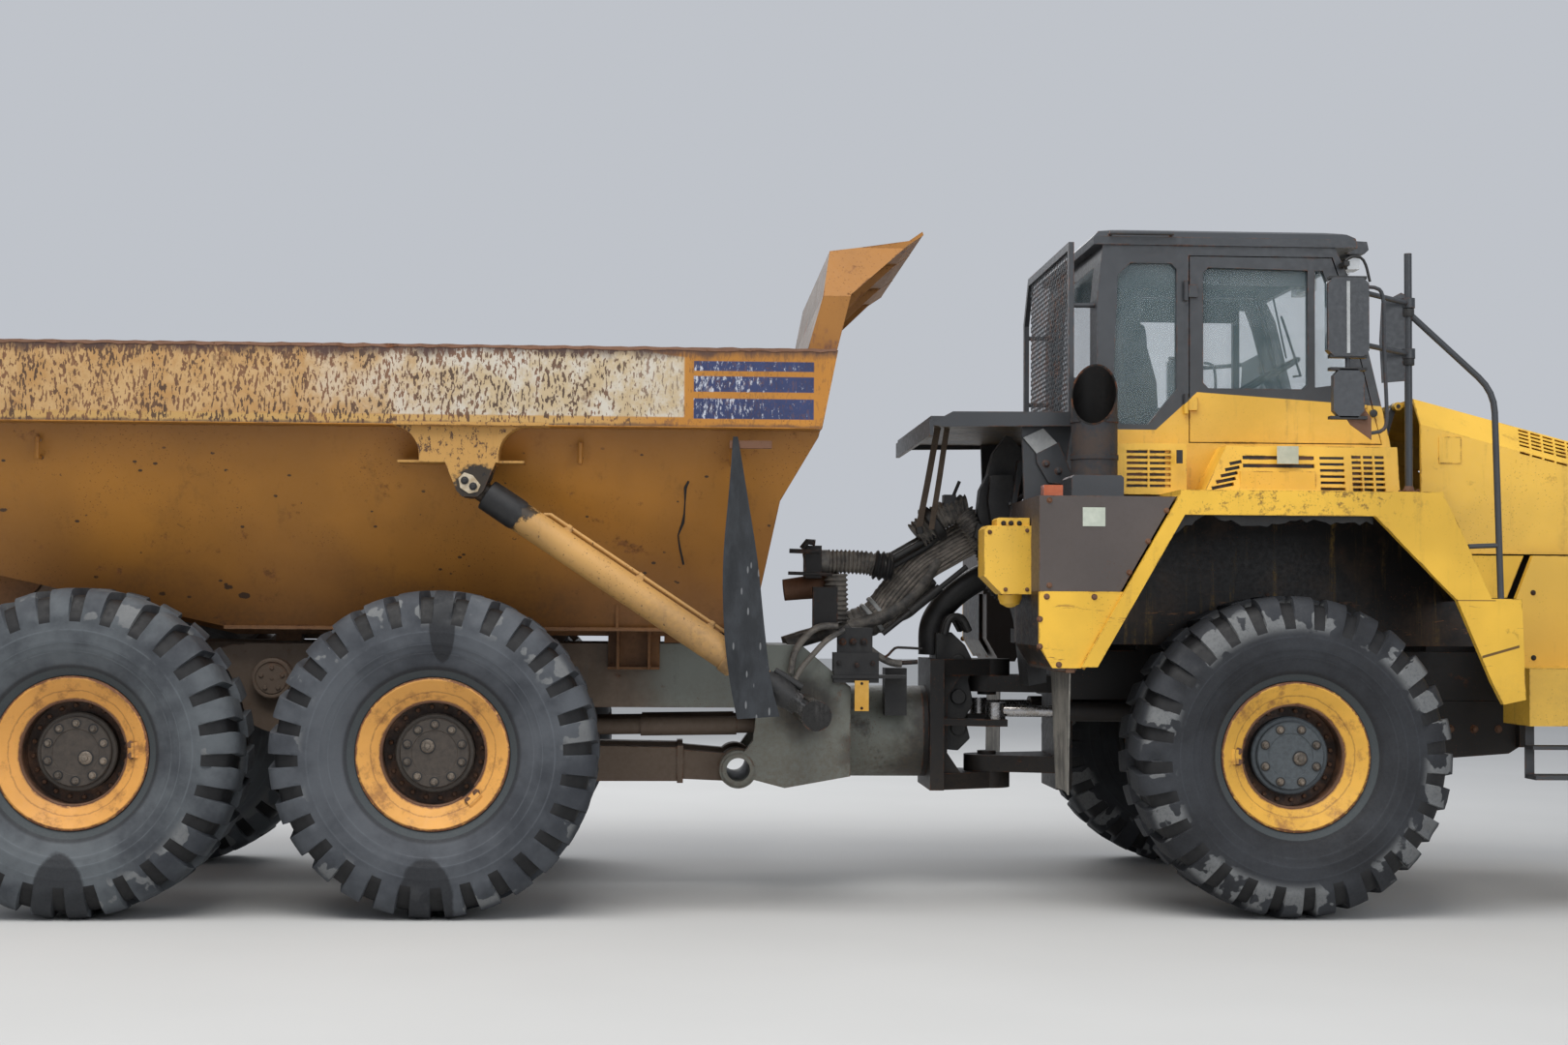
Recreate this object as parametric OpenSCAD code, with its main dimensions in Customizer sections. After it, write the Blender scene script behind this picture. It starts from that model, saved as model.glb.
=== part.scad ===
/* [Overall] */
// Distance from the front axle to the middle axle
wheelbase = 4490; // [4400:10:4650]
// Distance from the middle axle to the rear axle
bogie_spacing = 1830; // [1780:10:1900]
// Nose of the hood ahead of the front axle
front_overhang = 2650; // [2600:10:2750]
// Tail of the dump body behind the rear axle
rear_overhang = 1660; // [1600:10:1750]
// Wheel track, centre to centre
track = 2515; // [2490:5:2560]
// Articulation pin behind the front axle
hitch_setback = 1415; // [1380:5:1450]

/* [Wheels] */
// Tyre radius over the lugs
tyre_r = 845; // [820:5:860]
// Tyre width over the sidewalls
tyre_w = 675; // [640:5:700]
// Depth of the lugs
lug_h = 38; // [20:1:50]
// Lugs round each shoulder
lug_n = 28; // [20:1:32]
// Radius of the rim flange
rim_r = 394; // [380:2:410]
// Radius of the rim barrel that carries the tyre beads
barrel_r = 350; // [335:1:360]
// Width over the two rim flanges
rim_w = 530; // [500:5:560]
// Inner radius of the painted rim ring
ring_r = 269; // [250:1:285]
// Radius of the wheel hub
hub_r = 205; // [180:1:215]
// Hub face beyond the middle of the wheel
hub_reach = 120; // [80:5:150]

/* [Tractor frame] */
// Half width over the frame rails, front and rear
frame_half = 460; // [440:5:480]
// Thickness of a box rail
rail_t = 90; // [70:5:110]
// Underside of the front rails
front_rail_z = 1100; // [1090:5:1120]
// Height of the front rails
front_rail_h = 280; // [240:5:320]
// Radius of an axle tube
axle_r = 125; // [110:5:140]
// Radius of a differential housing
diff_r = 270; // [240:5:290]

/* [Articulation] */
// Radius of the vertical articulation pins
pin_r = 55; // [45:1:65]
// Radius of the ears round the pins
ear_r = 135; // [120:5:150]
// Thickness of each articulation ear
ear_t = 95; // [80:5:105]
// Top of the upper ear of the yoke
yoke_top = 1320; // [1300:5:1340]
// Underside of the lower ear of the yoke
yoke_bottom = 570; // [560:5:590]
// Height of the turning ring's axis
ring_z = 895; // [880:5:910]
// Outer radius of the turning tube
tube_r = 264; // [250:2:275]
// Radius of the shaft inside the turning tube
shaft_r = 180; // [160:5:200]
// Radius of a steering cylinder barrel
steer_r = 55; // [50:1:65]
// Height of the steering cylinders
steer_z = 1030; // [1010:5:1045]

/* [Cab] */
// Half width of the cab
cab_half = 850; // [830:5:870]
// Thickness of the cab walls and doors
cab_wall = 50; // [40:2:60]
// Top of the cab roof
roof_z = 3740; // [3700:10:3780]
// Thickness of the roof
roof_t = 100; // [80:5:120]
// Thickness of the glass
glass_t = 8; // [6:1:10]
// Lower edge of the doors
door_z = 2545; // [2530:5:2560]
// Top of the deck that carries the cab
deck_z = 2240; // [2230:5:2250]

/* [Hood and fenders] */
// Half width of the hood
hood_half = 860; // [840:5:880]
// Width of the bevel along the hood's upper edges
hood_bevel = 150; // [120:5:180]
// Height of the hood at the cab
hood_top = 2810; // [2790:5:2830]
// Thickness of the sheet panels
skin_t = 25; // [20:1:30]
// Half width over the fenders
fender_half = 1550; // [1530:5:1570]

/* [Dump body] */
// Half width over the top rails
body_half = 1500; // [1480:5:1520]
// Width of a top rail
rail_w = 170; // [150:5:190]
// Height of the top rail's upper face
rail_top = 2955; // [2940:5:2970]
// Height of the top rail
body_rail_h = 412; // [400:2:425]
// Half width of the body's floor
floor_half = 800; // [780:5:810]
// Underside of the floor
floor_z = 1490; // [1480:5:1500]
// Thickness of the floor and the walls
body_t = 18; // [14:1:22]
// Rise of the tail floor, degrees
tail_rise = 12.8; // [11:0.2:14]
// Height of the tipping pivot
pivot_z = 1590; // [1580:5:1600]
// Tipping pivot behind the rear axle
pivot_setback = 665; // [650:5:680]

/* [Hoist] */
// Plane of each hoist cylinder, from the middle
hoist_y = 1365; // [1360:1:1370]
// Radius of the barrel
hoist_r = 80; // [70:1:84]
// Height of the upper pin, on the body
hoist_top_z = 2245; // [2235:5:2255]
// Height of the lower pin, on the frame
hoist_low_z = 1045; // [1035:5:1055]
// Radius of the hoist pins
hoist_pin_r = 35; // [30:1:40]

/* [Hidden] */
$fn = 48;

// Places of the three axles, with the origin midway along the whole machine
total_length = front_overhang + wheelbase + bogie_spacing + rear_overhang;
front_x = total_length / 2 - front_overhang;
mid_x = front_x - wheelbase;
rear_x = mid_x - bogie_spacing;
tail_x = -total_length / 2;
bogie_x = (mid_x + rear_x) / 2;
hitch_x = front_x - hitch_setback;
axle_z = tyre_r;
wheel_y = track / 2;

// Running gap round pins and shafts, and between parts that move past each other
fit = 0.4;
// Gap at which a part rests against its neighbour
seat = 0.3;
// How far pieces that are welded together reach into each other
bite = 3;

YELLOW = [0.93, 0.72, 0.22];
ORANGE = [0.78, 0.50, 0.16];
TYRE = [0.24, 0.26, 0.29];
STEEL_GREY = [0.46, 0.48, 0.45];
BROWN = [0.40, 0.32, 0.27];
CHARCOAL = [0.24, 0.25, 0.27];
GLASS = [0.55, 0.66, 0.70, 0.5];
CHROME = [0.80, 0.80, 0.82];
AMBER = [0.95, 0.45, 0.12];

// Copies its children to both sides
module both_sides() {
    children();
    mirror([0, 1, 0]) children();
}

// Outline in X and Z, drawn out across the machine from y0 to y1
module across(outline, y0, y1) {
    translate([0, y1, 0]) rotate([90, 0, 0]) linear_extrude(y1 - y0) polygon(outline);
}

// Outline in Y and Z, drawn out along the machine from x0 to x1
module along(outline, x0, x1) {
    translate([x0, 0, 0]) rotate([90, 0, 90]) linear_extrude(x1 - x0) polygon(outline);
}

// Box between two corners
module block(low, high) {
    translate(low) cube(high - low);
}

// Round bar between y0 and y1 at a place in X and Z
module cross_bar(r, x, z, y0, y1) {
    translate([x, y1, z]) rotate([90, 0, 0]) cylinder(r = r, h = y1 - y0);
}

// Round bar from one point to another in the plane of X and Z
module strut(r, from, to, y) {
    run = to - from;
    translate([from[0], y, from[1]])
        rotate([0, 90 - atan2(run[1], run[0]), 0])
            cylinder(r = r, h = norm(run));
}

// Round bar between two points anywhere
module bar(r, from, to) {
    run = to - from;
    translate(from)
        rotate([0, acos(run[2] / norm(run)), atan2(run[1], run[0])])
            cylinder(r = r, h = norm(run));
}

// Outline with its corners cut by a distance c
function cut_rect(x0, z0, x1, z1, c) = [
    [x0 + c, z0], [x1 - c, z0], [x1, z0 + c], [x1, z1 - c],
    [x1 - c, z1], [x0 + c, z1], [x0, z1 - c], [x0, z0 + c]];

// Strip of thickness t on the inner side of a line of points, for sheets that are bent
function strip(points, t) = concat(points,
    [for (i = [len(points) - 1 : -1 : 0]) points[i] + t * corner_out(points, i)]);
function unit(v) = v / norm(v);
function side_of(a, b) = [-unit(b - a)[1], unit(b - a)[0]];
function corner_out(p, i) =
    i == 0 ? side_of(p[0], p[1])
    : i == len(p) - 1 ? side_of(p[i - 1], p[i])
    : (side_of(p[i - 1], p[i]) + side_of(p[i], p[i + 1]))
        / (1 + side_of(p[i - 1], p[i]) * side_of(p[i], p[i + 1]));

// Wheels, built round the Y axis with the outer side towards +Y
tread_half = tyre_w / 2 - 45;
bead_y = rim_w / 2 - 28;
// Half outline of the casing: radius and distance from the middle plane
casing = [[barrel_r + seat, 0], [barrel_r + seat, bead_y], [rim_r + 3, bead_y], [rim_r + 12, rim_w / 2 - 12],
    [470, 300], [600, tyre_w / 2], [690, tyre_w / 2 - 3], [tyre_r - lug_h - 50, tread_half + 4],
    [tyre_r - lug_h - 14, tread_half - 34], [tyre_r - lug_h, tread_half - 90], [tyre_r - lug_h, 0]];
// Section of a lug over one half of the tread
lug_section = [[tyre_r - lug_h - 60, 12], [tyre_r + 10, 12], [tyre_r + 10, tread_half - 70], [tyre_r - 28, tread_half - 14],
    [tyre_r - 78, tread_half + 26], [tyre_r - 150, tyre_w / 2 - 1], [tyre_r - 175, tyre_w / 2 - 40], [tyre_r - 110, tread_half - 60]];
lug_w = 108;
lug_skew = 9;

module casing_solid() {
    whole = concat(casing, [for (i = [len(casing) - 2 : -1 : 1]) [casing[i][0], -casing[i][1]]]);
    rotate([90, 0, 0]) rotate_extrude($fn = 64) polygon(whole);
}

module tyre() {
    color(TYRE) {
        casing_solid();
        intersection() {
            for (side = [0, 1], i = [0 : lug_n - 1])
                mirror([0, side, 0]) rotate([0, (i + side / 2) * 360 / lug_n, 0]) rotate([lug_skew, 0, 0])
                    linear_extrude(lug_w, center = true) polygon(lug_section);
            rotate([90, 0, 0]) cylinder(r = tyre_r, h = tyre_w, center = true, $fn = 112);
        }
    }
}

ring_in_y = rim_w / 2 - 65;
disc_y = 60;
disc_t = 30;
// Half section of the rim: a barrel with two flanges, the painted ring and the disc
rim_section = [[hub_r - 10, disc_y], [ring_r, disc_y], [ring_r, ring_in_y],
    [rim_r - 14, rim_w / 2], [rim_r, rim_w / 2 - 6], [rim_r, bead_y + seat],
    [barrel_r, bead_y + seat], [barrel_r, -bead_y - seat], [rim_r, -bead_y - seat],
    [rim_r, -rim_w / 2], [barrel_r - 20, -rim_w / 2 + 4], [barrel_r - 20, disc_y - disc_t],
    [hub_r - 10, disc_y - disc_t]];
hub_inner_y = -70;

module rim(shade) {
    color(shade) rotate([90, 0, 0]) mirror([0, 0, 1]) {
        rotate_extrude() polygon([for (p = rim_section) [p[0], p[1]]]);
        translate([0, 0, hub_inner_y]) cylinder(r = hub_r, h = hub_reach - hub_inner_y);
    }
}

module place_wheel(x, side) {
    translate([x, side * wheel_y, axle_z]) scale([1, 1, 1]) mirror([0, side < 0 ? 1 : 0, 0]) children();
}

// Axle with its tube, differential and wheel spindles
spindle_r = 150;
spindle_y = wheel_y + hub_inner_y - fit;

module axle(x) {
    translate([x, 0, axle_z]) {
        rotate([90, 0, 0]) cylinder(r = axle_r, h = 2 * spindle_y - 200, center = true);
        rotate([0, 90, 0]) cylinder(r = diff_r, h = 300, center = true);
        both_sides() translate([0, spindle_y, 0]) rotate([90, 0, 0]) cylinder(r = spindle_r, h = 160);
    }
}

// Tractor frame
frame_back = front_x - 1045;
frame_front = front_x + 2250;
rail_top_z = front_rail_z + front_rail_h;
lug_top = yoke_top - ear_t - fit * 2;
lug_low = yoke_bottom + ear_t + fit * 2;
post_half = 60;
// Half width of the cross plate that the articulation ears stand on
cross_half = 260;
// Cross members under the engine, X from the front axle, and their top
engine_feet = [1200, 1950];
engine_z = front_rail_z + 90;
// Posts that carry the deck: X from the front axle
deck_posts = [-560, 700];

// Flat ear with a round end at the articulation pin, reaching forward to x1
module front_ear(z0, z1) {
    translate([0, 0, z0]) linear_extrude(z1 - z0) difference() {
        union() {
            translate([hitch_x, 0]) circle(r = ear_r);
            polygon([[hitch_x, -ear_r], [frame_back + bite, -cross_half], [frame_back + bite, cross_half], [hitch_x, ear_r]]);
        }
        translate([hitch_x, 0]) circle(r = pin_r + fit);
    }
}

module front_frame() {
    inner = frame_half - rail_t;
    color(STEEL_GREY) {
        both_sides() {
            block([frame_back, inner, front_rail_z], [frame_front, frame_half, rail_top_z]);
            for (x = deck_posts)
                block([front_x + x - post_half, inner, rail_top_z - bite],
                    [front_x + x + post_half, frame_half, deck_z - skin_t]);
            // outrigger and upright that carry the tank
            block([frame_back, inner, rail_top_z - 60], [frame_back + 40, tank_in_y + 40, rail_top_z]);
            block([frame_back, inner, rail_top_z - bite], [frame_back + 40, tank_in_y, 1720]);
            // shelf under each steering cylinder's rear eye
            block([steer_eye_x - 15, inner, steer_z - 88], [steer_eye_x + 75, steer_y + 60, steer_z - 48]);
            block([steer_eye_x - 15, inner, steer_z - 48 - bite], [steer_eye_x + 75, frame_half, front_rail_z + bite]);
        }
        block([frame_back, -inner - bite, front_rail_z], [frame_back + 90, inner + bite, rail_top_z]);
        block([frame_back, -cross_half, lug_low - ear_t], [frame_back + 90, cross_half, front_rail_z + bite]);
        // bulkhead that the hoses leave from
        block([frame_back + 30, -220, rail_top_z - bite], [frame_back + 50, 220, 2060]);
        block([frame_front - 120, -inner - bite, front_rail_z], [frame_front, inner + bite, rail_top_z]);
        // cross members that the engine stands on
        for (x = engine_feet)
            block([front_x + x - 40, -inner - bite, front_rail_z], [front_x + x + 40, inner + bite, engine_z]);
        front_ear(lug_top - ear_t, lug_top);
        front_ear(lug_low, lug_low + ear_t);
    }
}

module front_axle() {
    color(STEEL_GREY) {
        axle(front_x);
        both_sides()
            block([front_x - 90, frame_half - rail_t, axle_z + 90], [front_x + 90, frame_half, front_rail_z]);
    }
}

module engine() {
    color(STEEL_GREY)
        block([front_x + 1090, -frame_half + rail_t + 10, engine_z + seat], [front_x + 2100, frame_half - rail_t - 10, 2150]);
}

// Articulation: the yoke turns on the pins, and the rear frame turns on the yoke's shaft
yoke_x = hitch_x - 370;
yoke_t = 80;
yoke_half = 320;
flange_x = yoke_x - 30;
shaft_x = flange_x - 330;
steer_y = frame_half + 80;
steer_arm = steer_y - 170;
steer_back = 1000;
steer_eye_x = hitch_x + steer_back;

// Ear of the yoke with a round end at the articulation pin
module yoke_ear(z0) {
    translate([0, 0, z0]) linear_extrude(ear_t) {
        translate([hitch_x, 0]) circle(r = ear_r);
        polygon([[yoke_x + bite, -yoke_half], [hitch_x, -ear_r], [hitch_x, ear_r], [yoke_x + bite, yoke_half]]);
    }
}

module hitch() {
    color(BROWN) {
        block([yoke_x, -yoke_half, yoke_bottom], [yoke_x + yoke_t, yoke_half, yoke_top]);
        yoke_ear(yoke_bottom);
        yoke_ear(yoke_top - ear_t);
        translate([flange_x, 0, ring_z]) rotate([0, 90, 0]) cylinder(r = tube_r, h = yoke_x - flange_x + bite);
        translate([shaft_x, 0, ring_z]) rotate([0, 90, 0]) cylinder(r = shaft_r, h = flange_x - shaft_x + bite);
        // ribs between the ears
        both_sides()
            across([[yoke_x + yoke_t - bite, yoke_bottom + ear_t - bite], [yoke_x + yoke_t + 110, yoke_bottom + ear_t - bite],
                [yoke_x + yoke_t + 30, 780], [yoke_x + yoke_t + 30, yoke_top - ear_t - 120],
                [yoke_x + yoke_t + 110, yoke_top - ear_t + bite], [yoke_x + yoke_t - bite, yoke_top - ear_t + bite]], 200, 225);
        for (z = [[lug_low - fit * 2, lug_low + ear_t + 20], [lug_top - ear_t - 20, lug_top + fit * 2]])
            translate([hitch_x, 0, z[0]]) cylinder(r = pin_r, h = z[1] - z[0]);
        // arms that the steering rods push on
        both_sides()
            translate([0, 0, steer_z - 88]) linear_extrude(40)
                polygon([[yoke_x + yoke_t - bite, 180], [yoke_x + yoke_t - bite, yoke_half], [hitch_x - 60, steer_arm + 60],
                    [hitch_x + 60, steer_arm + 60], [hitch_x + 60, steer_arm - 60], [hitch_x - 70, 300]]);
    }
}

// Steering cylinder, along +X from its rod's eye at the origin to the barrel's eye
steer_run = [steer_back, steer_y - steer_arm];
steer_len = norm(steer_run);
steer_turn = atan2(steer_run[1], steer_run[0]);
steer_barrel_len = 640;

module steer_place(side) {
    mirror([0, side < 0 ? 1 : 0, 0]) translate([hitch_x, steer_arm, steer_z]) rotate([0, 0, steer_turn]) children();
}

module steer_eye() {
    translate([0, 0, -48 + seat]) cylinder(r = 55, h = 96 - seat * 2);
}

module steer_barrel() {
    color(YELLOW) {
        translate([steer_len, 0, 0]) difference() {
            steer_eye();
            translate([0, 0, -60]) cylinder(r = 28, h = 120);
        }
        translate([steer_len - 50, 0, 0]) rotate([0, -90, 0]) difference() {
            cylinder(r = steer_r, h = steer_barrel_len);
            translate([0, 0, 60]) cylinder(r = 33 + fit, h = steer_barrel_len);
        }
    }
}

module steer_rod() {
    color(CHROME) {
        steer_eye();
        rotate([0, 90, 0]) cylinder(r = 33, h = steer_len - 370);
    }
}

// Rear frame, from the turning tube to the tipping pivot
rear_rail_z = 1045;
rear_rail_h = 358;
rear_rail_top = rear_rail_z + rear_rail_h;
cast_back = mid_x + 1745;
cast_front = flange_x - 440;
tube_back = cast_front - 10;
pivot_x = rear_x - pivot_setback;
pivot_half = 560;
pivot_ear = 105;
hoist_low_x = mid_x + 1980;
outrigger_r = 75;
outrigger_end_r = 45;
hoist_inner_y = hoist_y - 55;
// Outline of the casting that ties the frame to the turning tube
casting = [[cast_back, rear_rail_top - 3], [cast_back + 210, rear_rail_top - 3], [cast_front - 55, 1210], [cast_front, 1165],
    [cast_front, 660], [cast_back + 120, 593], [cast_back - 60, 640], [cast_back - 160, 720], [cast_back - 60, 860]];
// Hollow pin that the lower arms of the middle axle swing on: place, outer and inner radius
link_eye = [cast_back - 143, 696];
link_tube_r = 90;
link_hole_r = 66;
// Pin of the upper links
link_pin = [cast_back + 20, 940];
link_pin_r = 30;

module rear_frame() {
    color(STEEL_GREY) {
        difference() {
            union() {
                both_sides()
                    block([pivot_x + 160, frame_half - rail_t, rear_rail_z], [cast_back + bite, frame_half, rear_rail_top]);
                across(casting, -frame_half, frame_half);
                cross_bar(link_tube_r + 16, link_eye[0], link_eye[1], -frame_half, frame_half);
                translate([tube_back, 0, ring_z]) rotate([0, 90, 0]) cylinder(r = tube_r, h = flange_x - tube_back - fit);
            }
            translate([shaft_x - 10, 0, ring_z]) rotate([0, 90, 0]) cylinder(r = shaft_r + fit, h = flange_x - shaft_x + 20);
            block([cast_back - 400, -frame_half + rail_t, 500], [cast_back + 130, frame_half - rail_t, 1340]);
            cross_bar(link_hole_r + 10, link_eye[0], link_eye[1], -frame_half - 10, frame_half + 10);
        }
        difference() {
            cross_bar(link_tube_r, link_eye[0], link_eye[1], -frame_half - 14, frame_half + 14);
            cross_bar(link_hole_r, link_eye[0], link_eye[1], -frame_half - 30, frame_half + 30);
        }
        cross_bar(link_pin_r, link_pin[0], link_pin[1], -frame_half + rail_t - bite, frame_half - rail_t + bite);
        for (x = [pivot_x + 160, rear_x + 330, bogie_x - 120, mid_x + 900])
            block([x, -frame_half + rail_t - bite, rear_rail_z + 40], [x + 120, frame_half - rail_t + bite, rear_rail_top - 60]);
        both_sides() {
            // tipping pivot ears at the tail
            difference() {
                across([[pivot_x + 420, rear_rail_z], [pivot_x + 420, rear_rail_top], [pivot_x + pivot_ear, pivot_z + 20],
                    [pivot_x - pivot_ear, pivot_z + 20], [pivot_x - pivot_ear, pivot_z - 90], [pivot_x + 100, rear_rail_z]],
                    frame_half - bite, frame_half + 70);
                cross_bar(hoist_pin_r + 20 + fit, pivot_x, pivot_z, frame_half - 10, frame_half + 90);
            }
            // outrigger under the hoist cylinder
            cross_bar(outrigger_r, hoist_low_x, hoist_low_z, frame_half - 20, hoist_inner_y - 160);
            cross_bar(outrigger_end_r, hoist_low_x, hoist_low_z, frame_half, hoist_inner_y - seat);
        }
    }
}

// Walking beam on each side, on its pivot under the frame
beam_y = frame_half + 90;
beam_t = 110;
beam_pivot_z = 1205;
// Rounded middle of the beam, and the cap over its pivot
beam_boss_r = 288;
beam_cap_r = 110;

module bogie_beams() {
    color(BROWN) both_sides() {
        intersection() {
            union() {
                across([[rear_x - 110, axle_z + 130], [mid_x + 110, axle_z + 130], [mid_x + 110, axle_z + 250],
                    [bogie_x + beam_boss_r, 1390], [bogie_x - beam_boss_r, 1390], [rear_x - 110, axle_z + 250]],
                    beam_y, beam_y + beam_t);
                cross_bar(beam_boss_r, bogie_x, beam_pivot_z - 12, beam_y, beam_y + beam_t);
            }
            block([rear_x - 200, beam_y - 10, 800], [mid_x + 200, beam_y + beam_t + 10, rear_rail_top - 6]);
        }
        cross_bar(beam_cap_r, bogie_x - 45, beam_pivot_z, frame_half + seat, beam_y + beam_t + 60);
        cross_bar(beam_cap_r - 28, bogie_x - 45, beam_pivot_z, beam_y, beam_y + beam_t + 74);
    }
}

// Lamps on the tail of the rear frame
module tail_lamps() {
    color(AMBER) both_sides()
        block([pivot_x + 128, frame_half - rail_t + 8, rear_rail_z + 70], [pivot_x + 160 - seat, frame_half - 8, rear_rail_z + 250]);
}

link_r = 44;
link_start = [mid_x + 60, axle_z + 70];
// End of the lower arm's box section
arm_flange_x = mid_x + 1270;

module rear_axles() {
    color(STEEL_GREY) {
        for (x = [mid_x, rear_x]) {
            axle(x);
            both_sides()
                block([x - 90, beam_y, axle_z + 80], [x + 90, beam_y + beam_t, axle_z + 130 - seat]);
        }
        both_sides() {
            // stepped upper link from the middle axle to the casting
            strut(link_r, link_start, link_pin - 50 * unit(link_pin - link_start), 300);
            strut(link_r + 9, link_start + 0.58 * (link_pin - link_start), link_start + 0.9 * (link_pin - link_start), 300);
            difference() {
                cross_bar(link_r + 16, link_pin[0], link_pin[1], 300 - link_r - 6, 300 + link_r + 6);
                cross_bar(link_pin_r + fit, link_pin[0], link_pin[1], 200, 400);
            }
            // lower arm: a box section, a flange, and a narrower neck to the eye on the hollow pin
            difference() {
                union() {
                    across([[mid_x + 70, 620], [arm_flange_x, 622], [arm_flange_x, 812], [mid_x + 70, 830]], 190, 340);
                    across([[arm_flange_x - 12, 612], [arm_flange_x + 22, 612], [arm_flange_x + 22, 822], [arm_flange_x - 12, 822]], 180, 350);
                    across([[arm_flange_x, 634], [link_eye[0], 620], [link_eye[0], 772], [arm_flange_x, 800]], 210, 320);
                    cross_bar(link_tube_r + 22, link_eye[0], link_eye[1], 200, 330);
                }
                cross_bar(link_tube_r + fit, link_eye[0], link_eye[1], 150, 400);
            }
        }
    }
}

// Dump body
body_back_x = mid_x - 1205;
wall_top_half = body_half - rail_w;
wall_top_z = rail_top - body_rail_h;
rail_front_x = mid_x + 2077;
// Front wall from the floor to the rail: X from the middle axle, and height
front_wall = [[mid_x + 1660, floor_z], [mid_x + 1795, 2180], [mid_x + 1988, wall_top_z - 30], [mid_x + 1995, wall_top_z],
    [rail_front_x, rail_top]];
tail_z = floor_z + (body_back_x - tail_x) * tan(tail_rise);
tail_top = 2420;
rail_back_x = tail_x + 560;
// Widening of the walls for each unit of height
flare = (wall_top_half - floor_half) / (wall_top_z - floor_z);

function body_outline(t) = concat(
    [[tail_x - (t > 0 ? 200 : 0), tail_z + t * 1.02 + (t > 0 ? 200 * tan(tail_rise) : 0)], [body_back_x, floor_z + t]],
    [for (p = front_wall) [p[0] - t * 1.03, max(p[1], floor_z + t)]],
    t > 0 ? [[rail_front_x, rail_top + 300], [tail_x - 200, rail_top + 300]]
        : [[rail_back_x, rail_top], [tail_x, tail_top]]);

function half_width(z) = floor_half + (z - floor_z) * flare;
function body_section(t) = [[-half_width(floor_z), floor_z], [half_width(floor_z), floor_z],
    [wall_top_half - t, wall_top_z], [wall_top_half - t, rail_top + 400], [-wall_top_half + t, rail_top + 400],
    [-wall_top_half + t, wall_top_z]];
function inner_section(t) = [[-half_width(floor_z) + t, floor_z], [half_width(floor_z) - t, floor_z],
    [wall_top_half - t, wall_top_z], [wall_top_half - t, rail_top + 400], [-wall_top_half + t, rail_top + 400],
    [-wall_top_half + t, wall_top_z]];

bracket_x = mid_x + 110;
// Radius of the hoist bracket's hollow sides
bracket_r = 150;
hoist_top_x = mid_x + 170;
ear_drop = 70;
clevis_t = 40;

// Runners under the floor, and the places of their pads along them
runner_y = frame_half - rail_t / 2;
runner_pads = [bogie_x, mid_x + 300, mid_x + 1250];
// Guide brackets beside the rails: place of the plate along the machine, and its height
guide_x = [mid_x + 865, mid_x + 1155];
guide_low = 1260;
// Lifting eyes along the side wall
lifting_eyes = [mid_x - 2080, mid_x + 732, mid_x + 1534];
eye_z = 2370;

module guide() {
    block([guide_x[0], frame_half + 8, guide_low], [guide_x[1], frame_half + 22, floor_z - 4]);
    block([guide_x[0], frame_half + 8, floor_z - 14], [guide_x[1], floor_half, floor_z + 6]);
    block([guide_x[0], frame_half + 8, guide_low], [guide_x[1], frame_half + 110, guide_low + 14]);
    for (x = [guide_x[0] + 50, guide_x[1] - 66])
        across([[x, guide_low], [x + 16, guide_low], [x + 16, floor_z], [x, floor_z]], frame_half + 8, frame_half + 150);
    // rib up to the side wall
    along([[floor_half - 4, floor_z - 10], [floor_half + 24, floor_z - 10], [half_width(floor_z + 130) + 4, floor_z + 130],
        [half_width(floor_z + 130) - 6, floor_z + 130]], guide_x[0] + 50, guide_x[0] + 66);
}

// Loop of round bar on the side wall
module lifting_eye(x) {
    y = half_width(eye_z);
    for (z = [eye_z, eye_z + 90])
        bar(11, [x, half_width(z) - 14, z], [x, y + 80, z]);
    bar(13, [x, y + 80, eye_z - 12], [x, y + 80, eye_z + 102]);
}

// Underside of the tail floor at a place along the machine
function floor_at(x) = floor_z + max(0, body_back_x - x) * tan(tail_rise);

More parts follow.
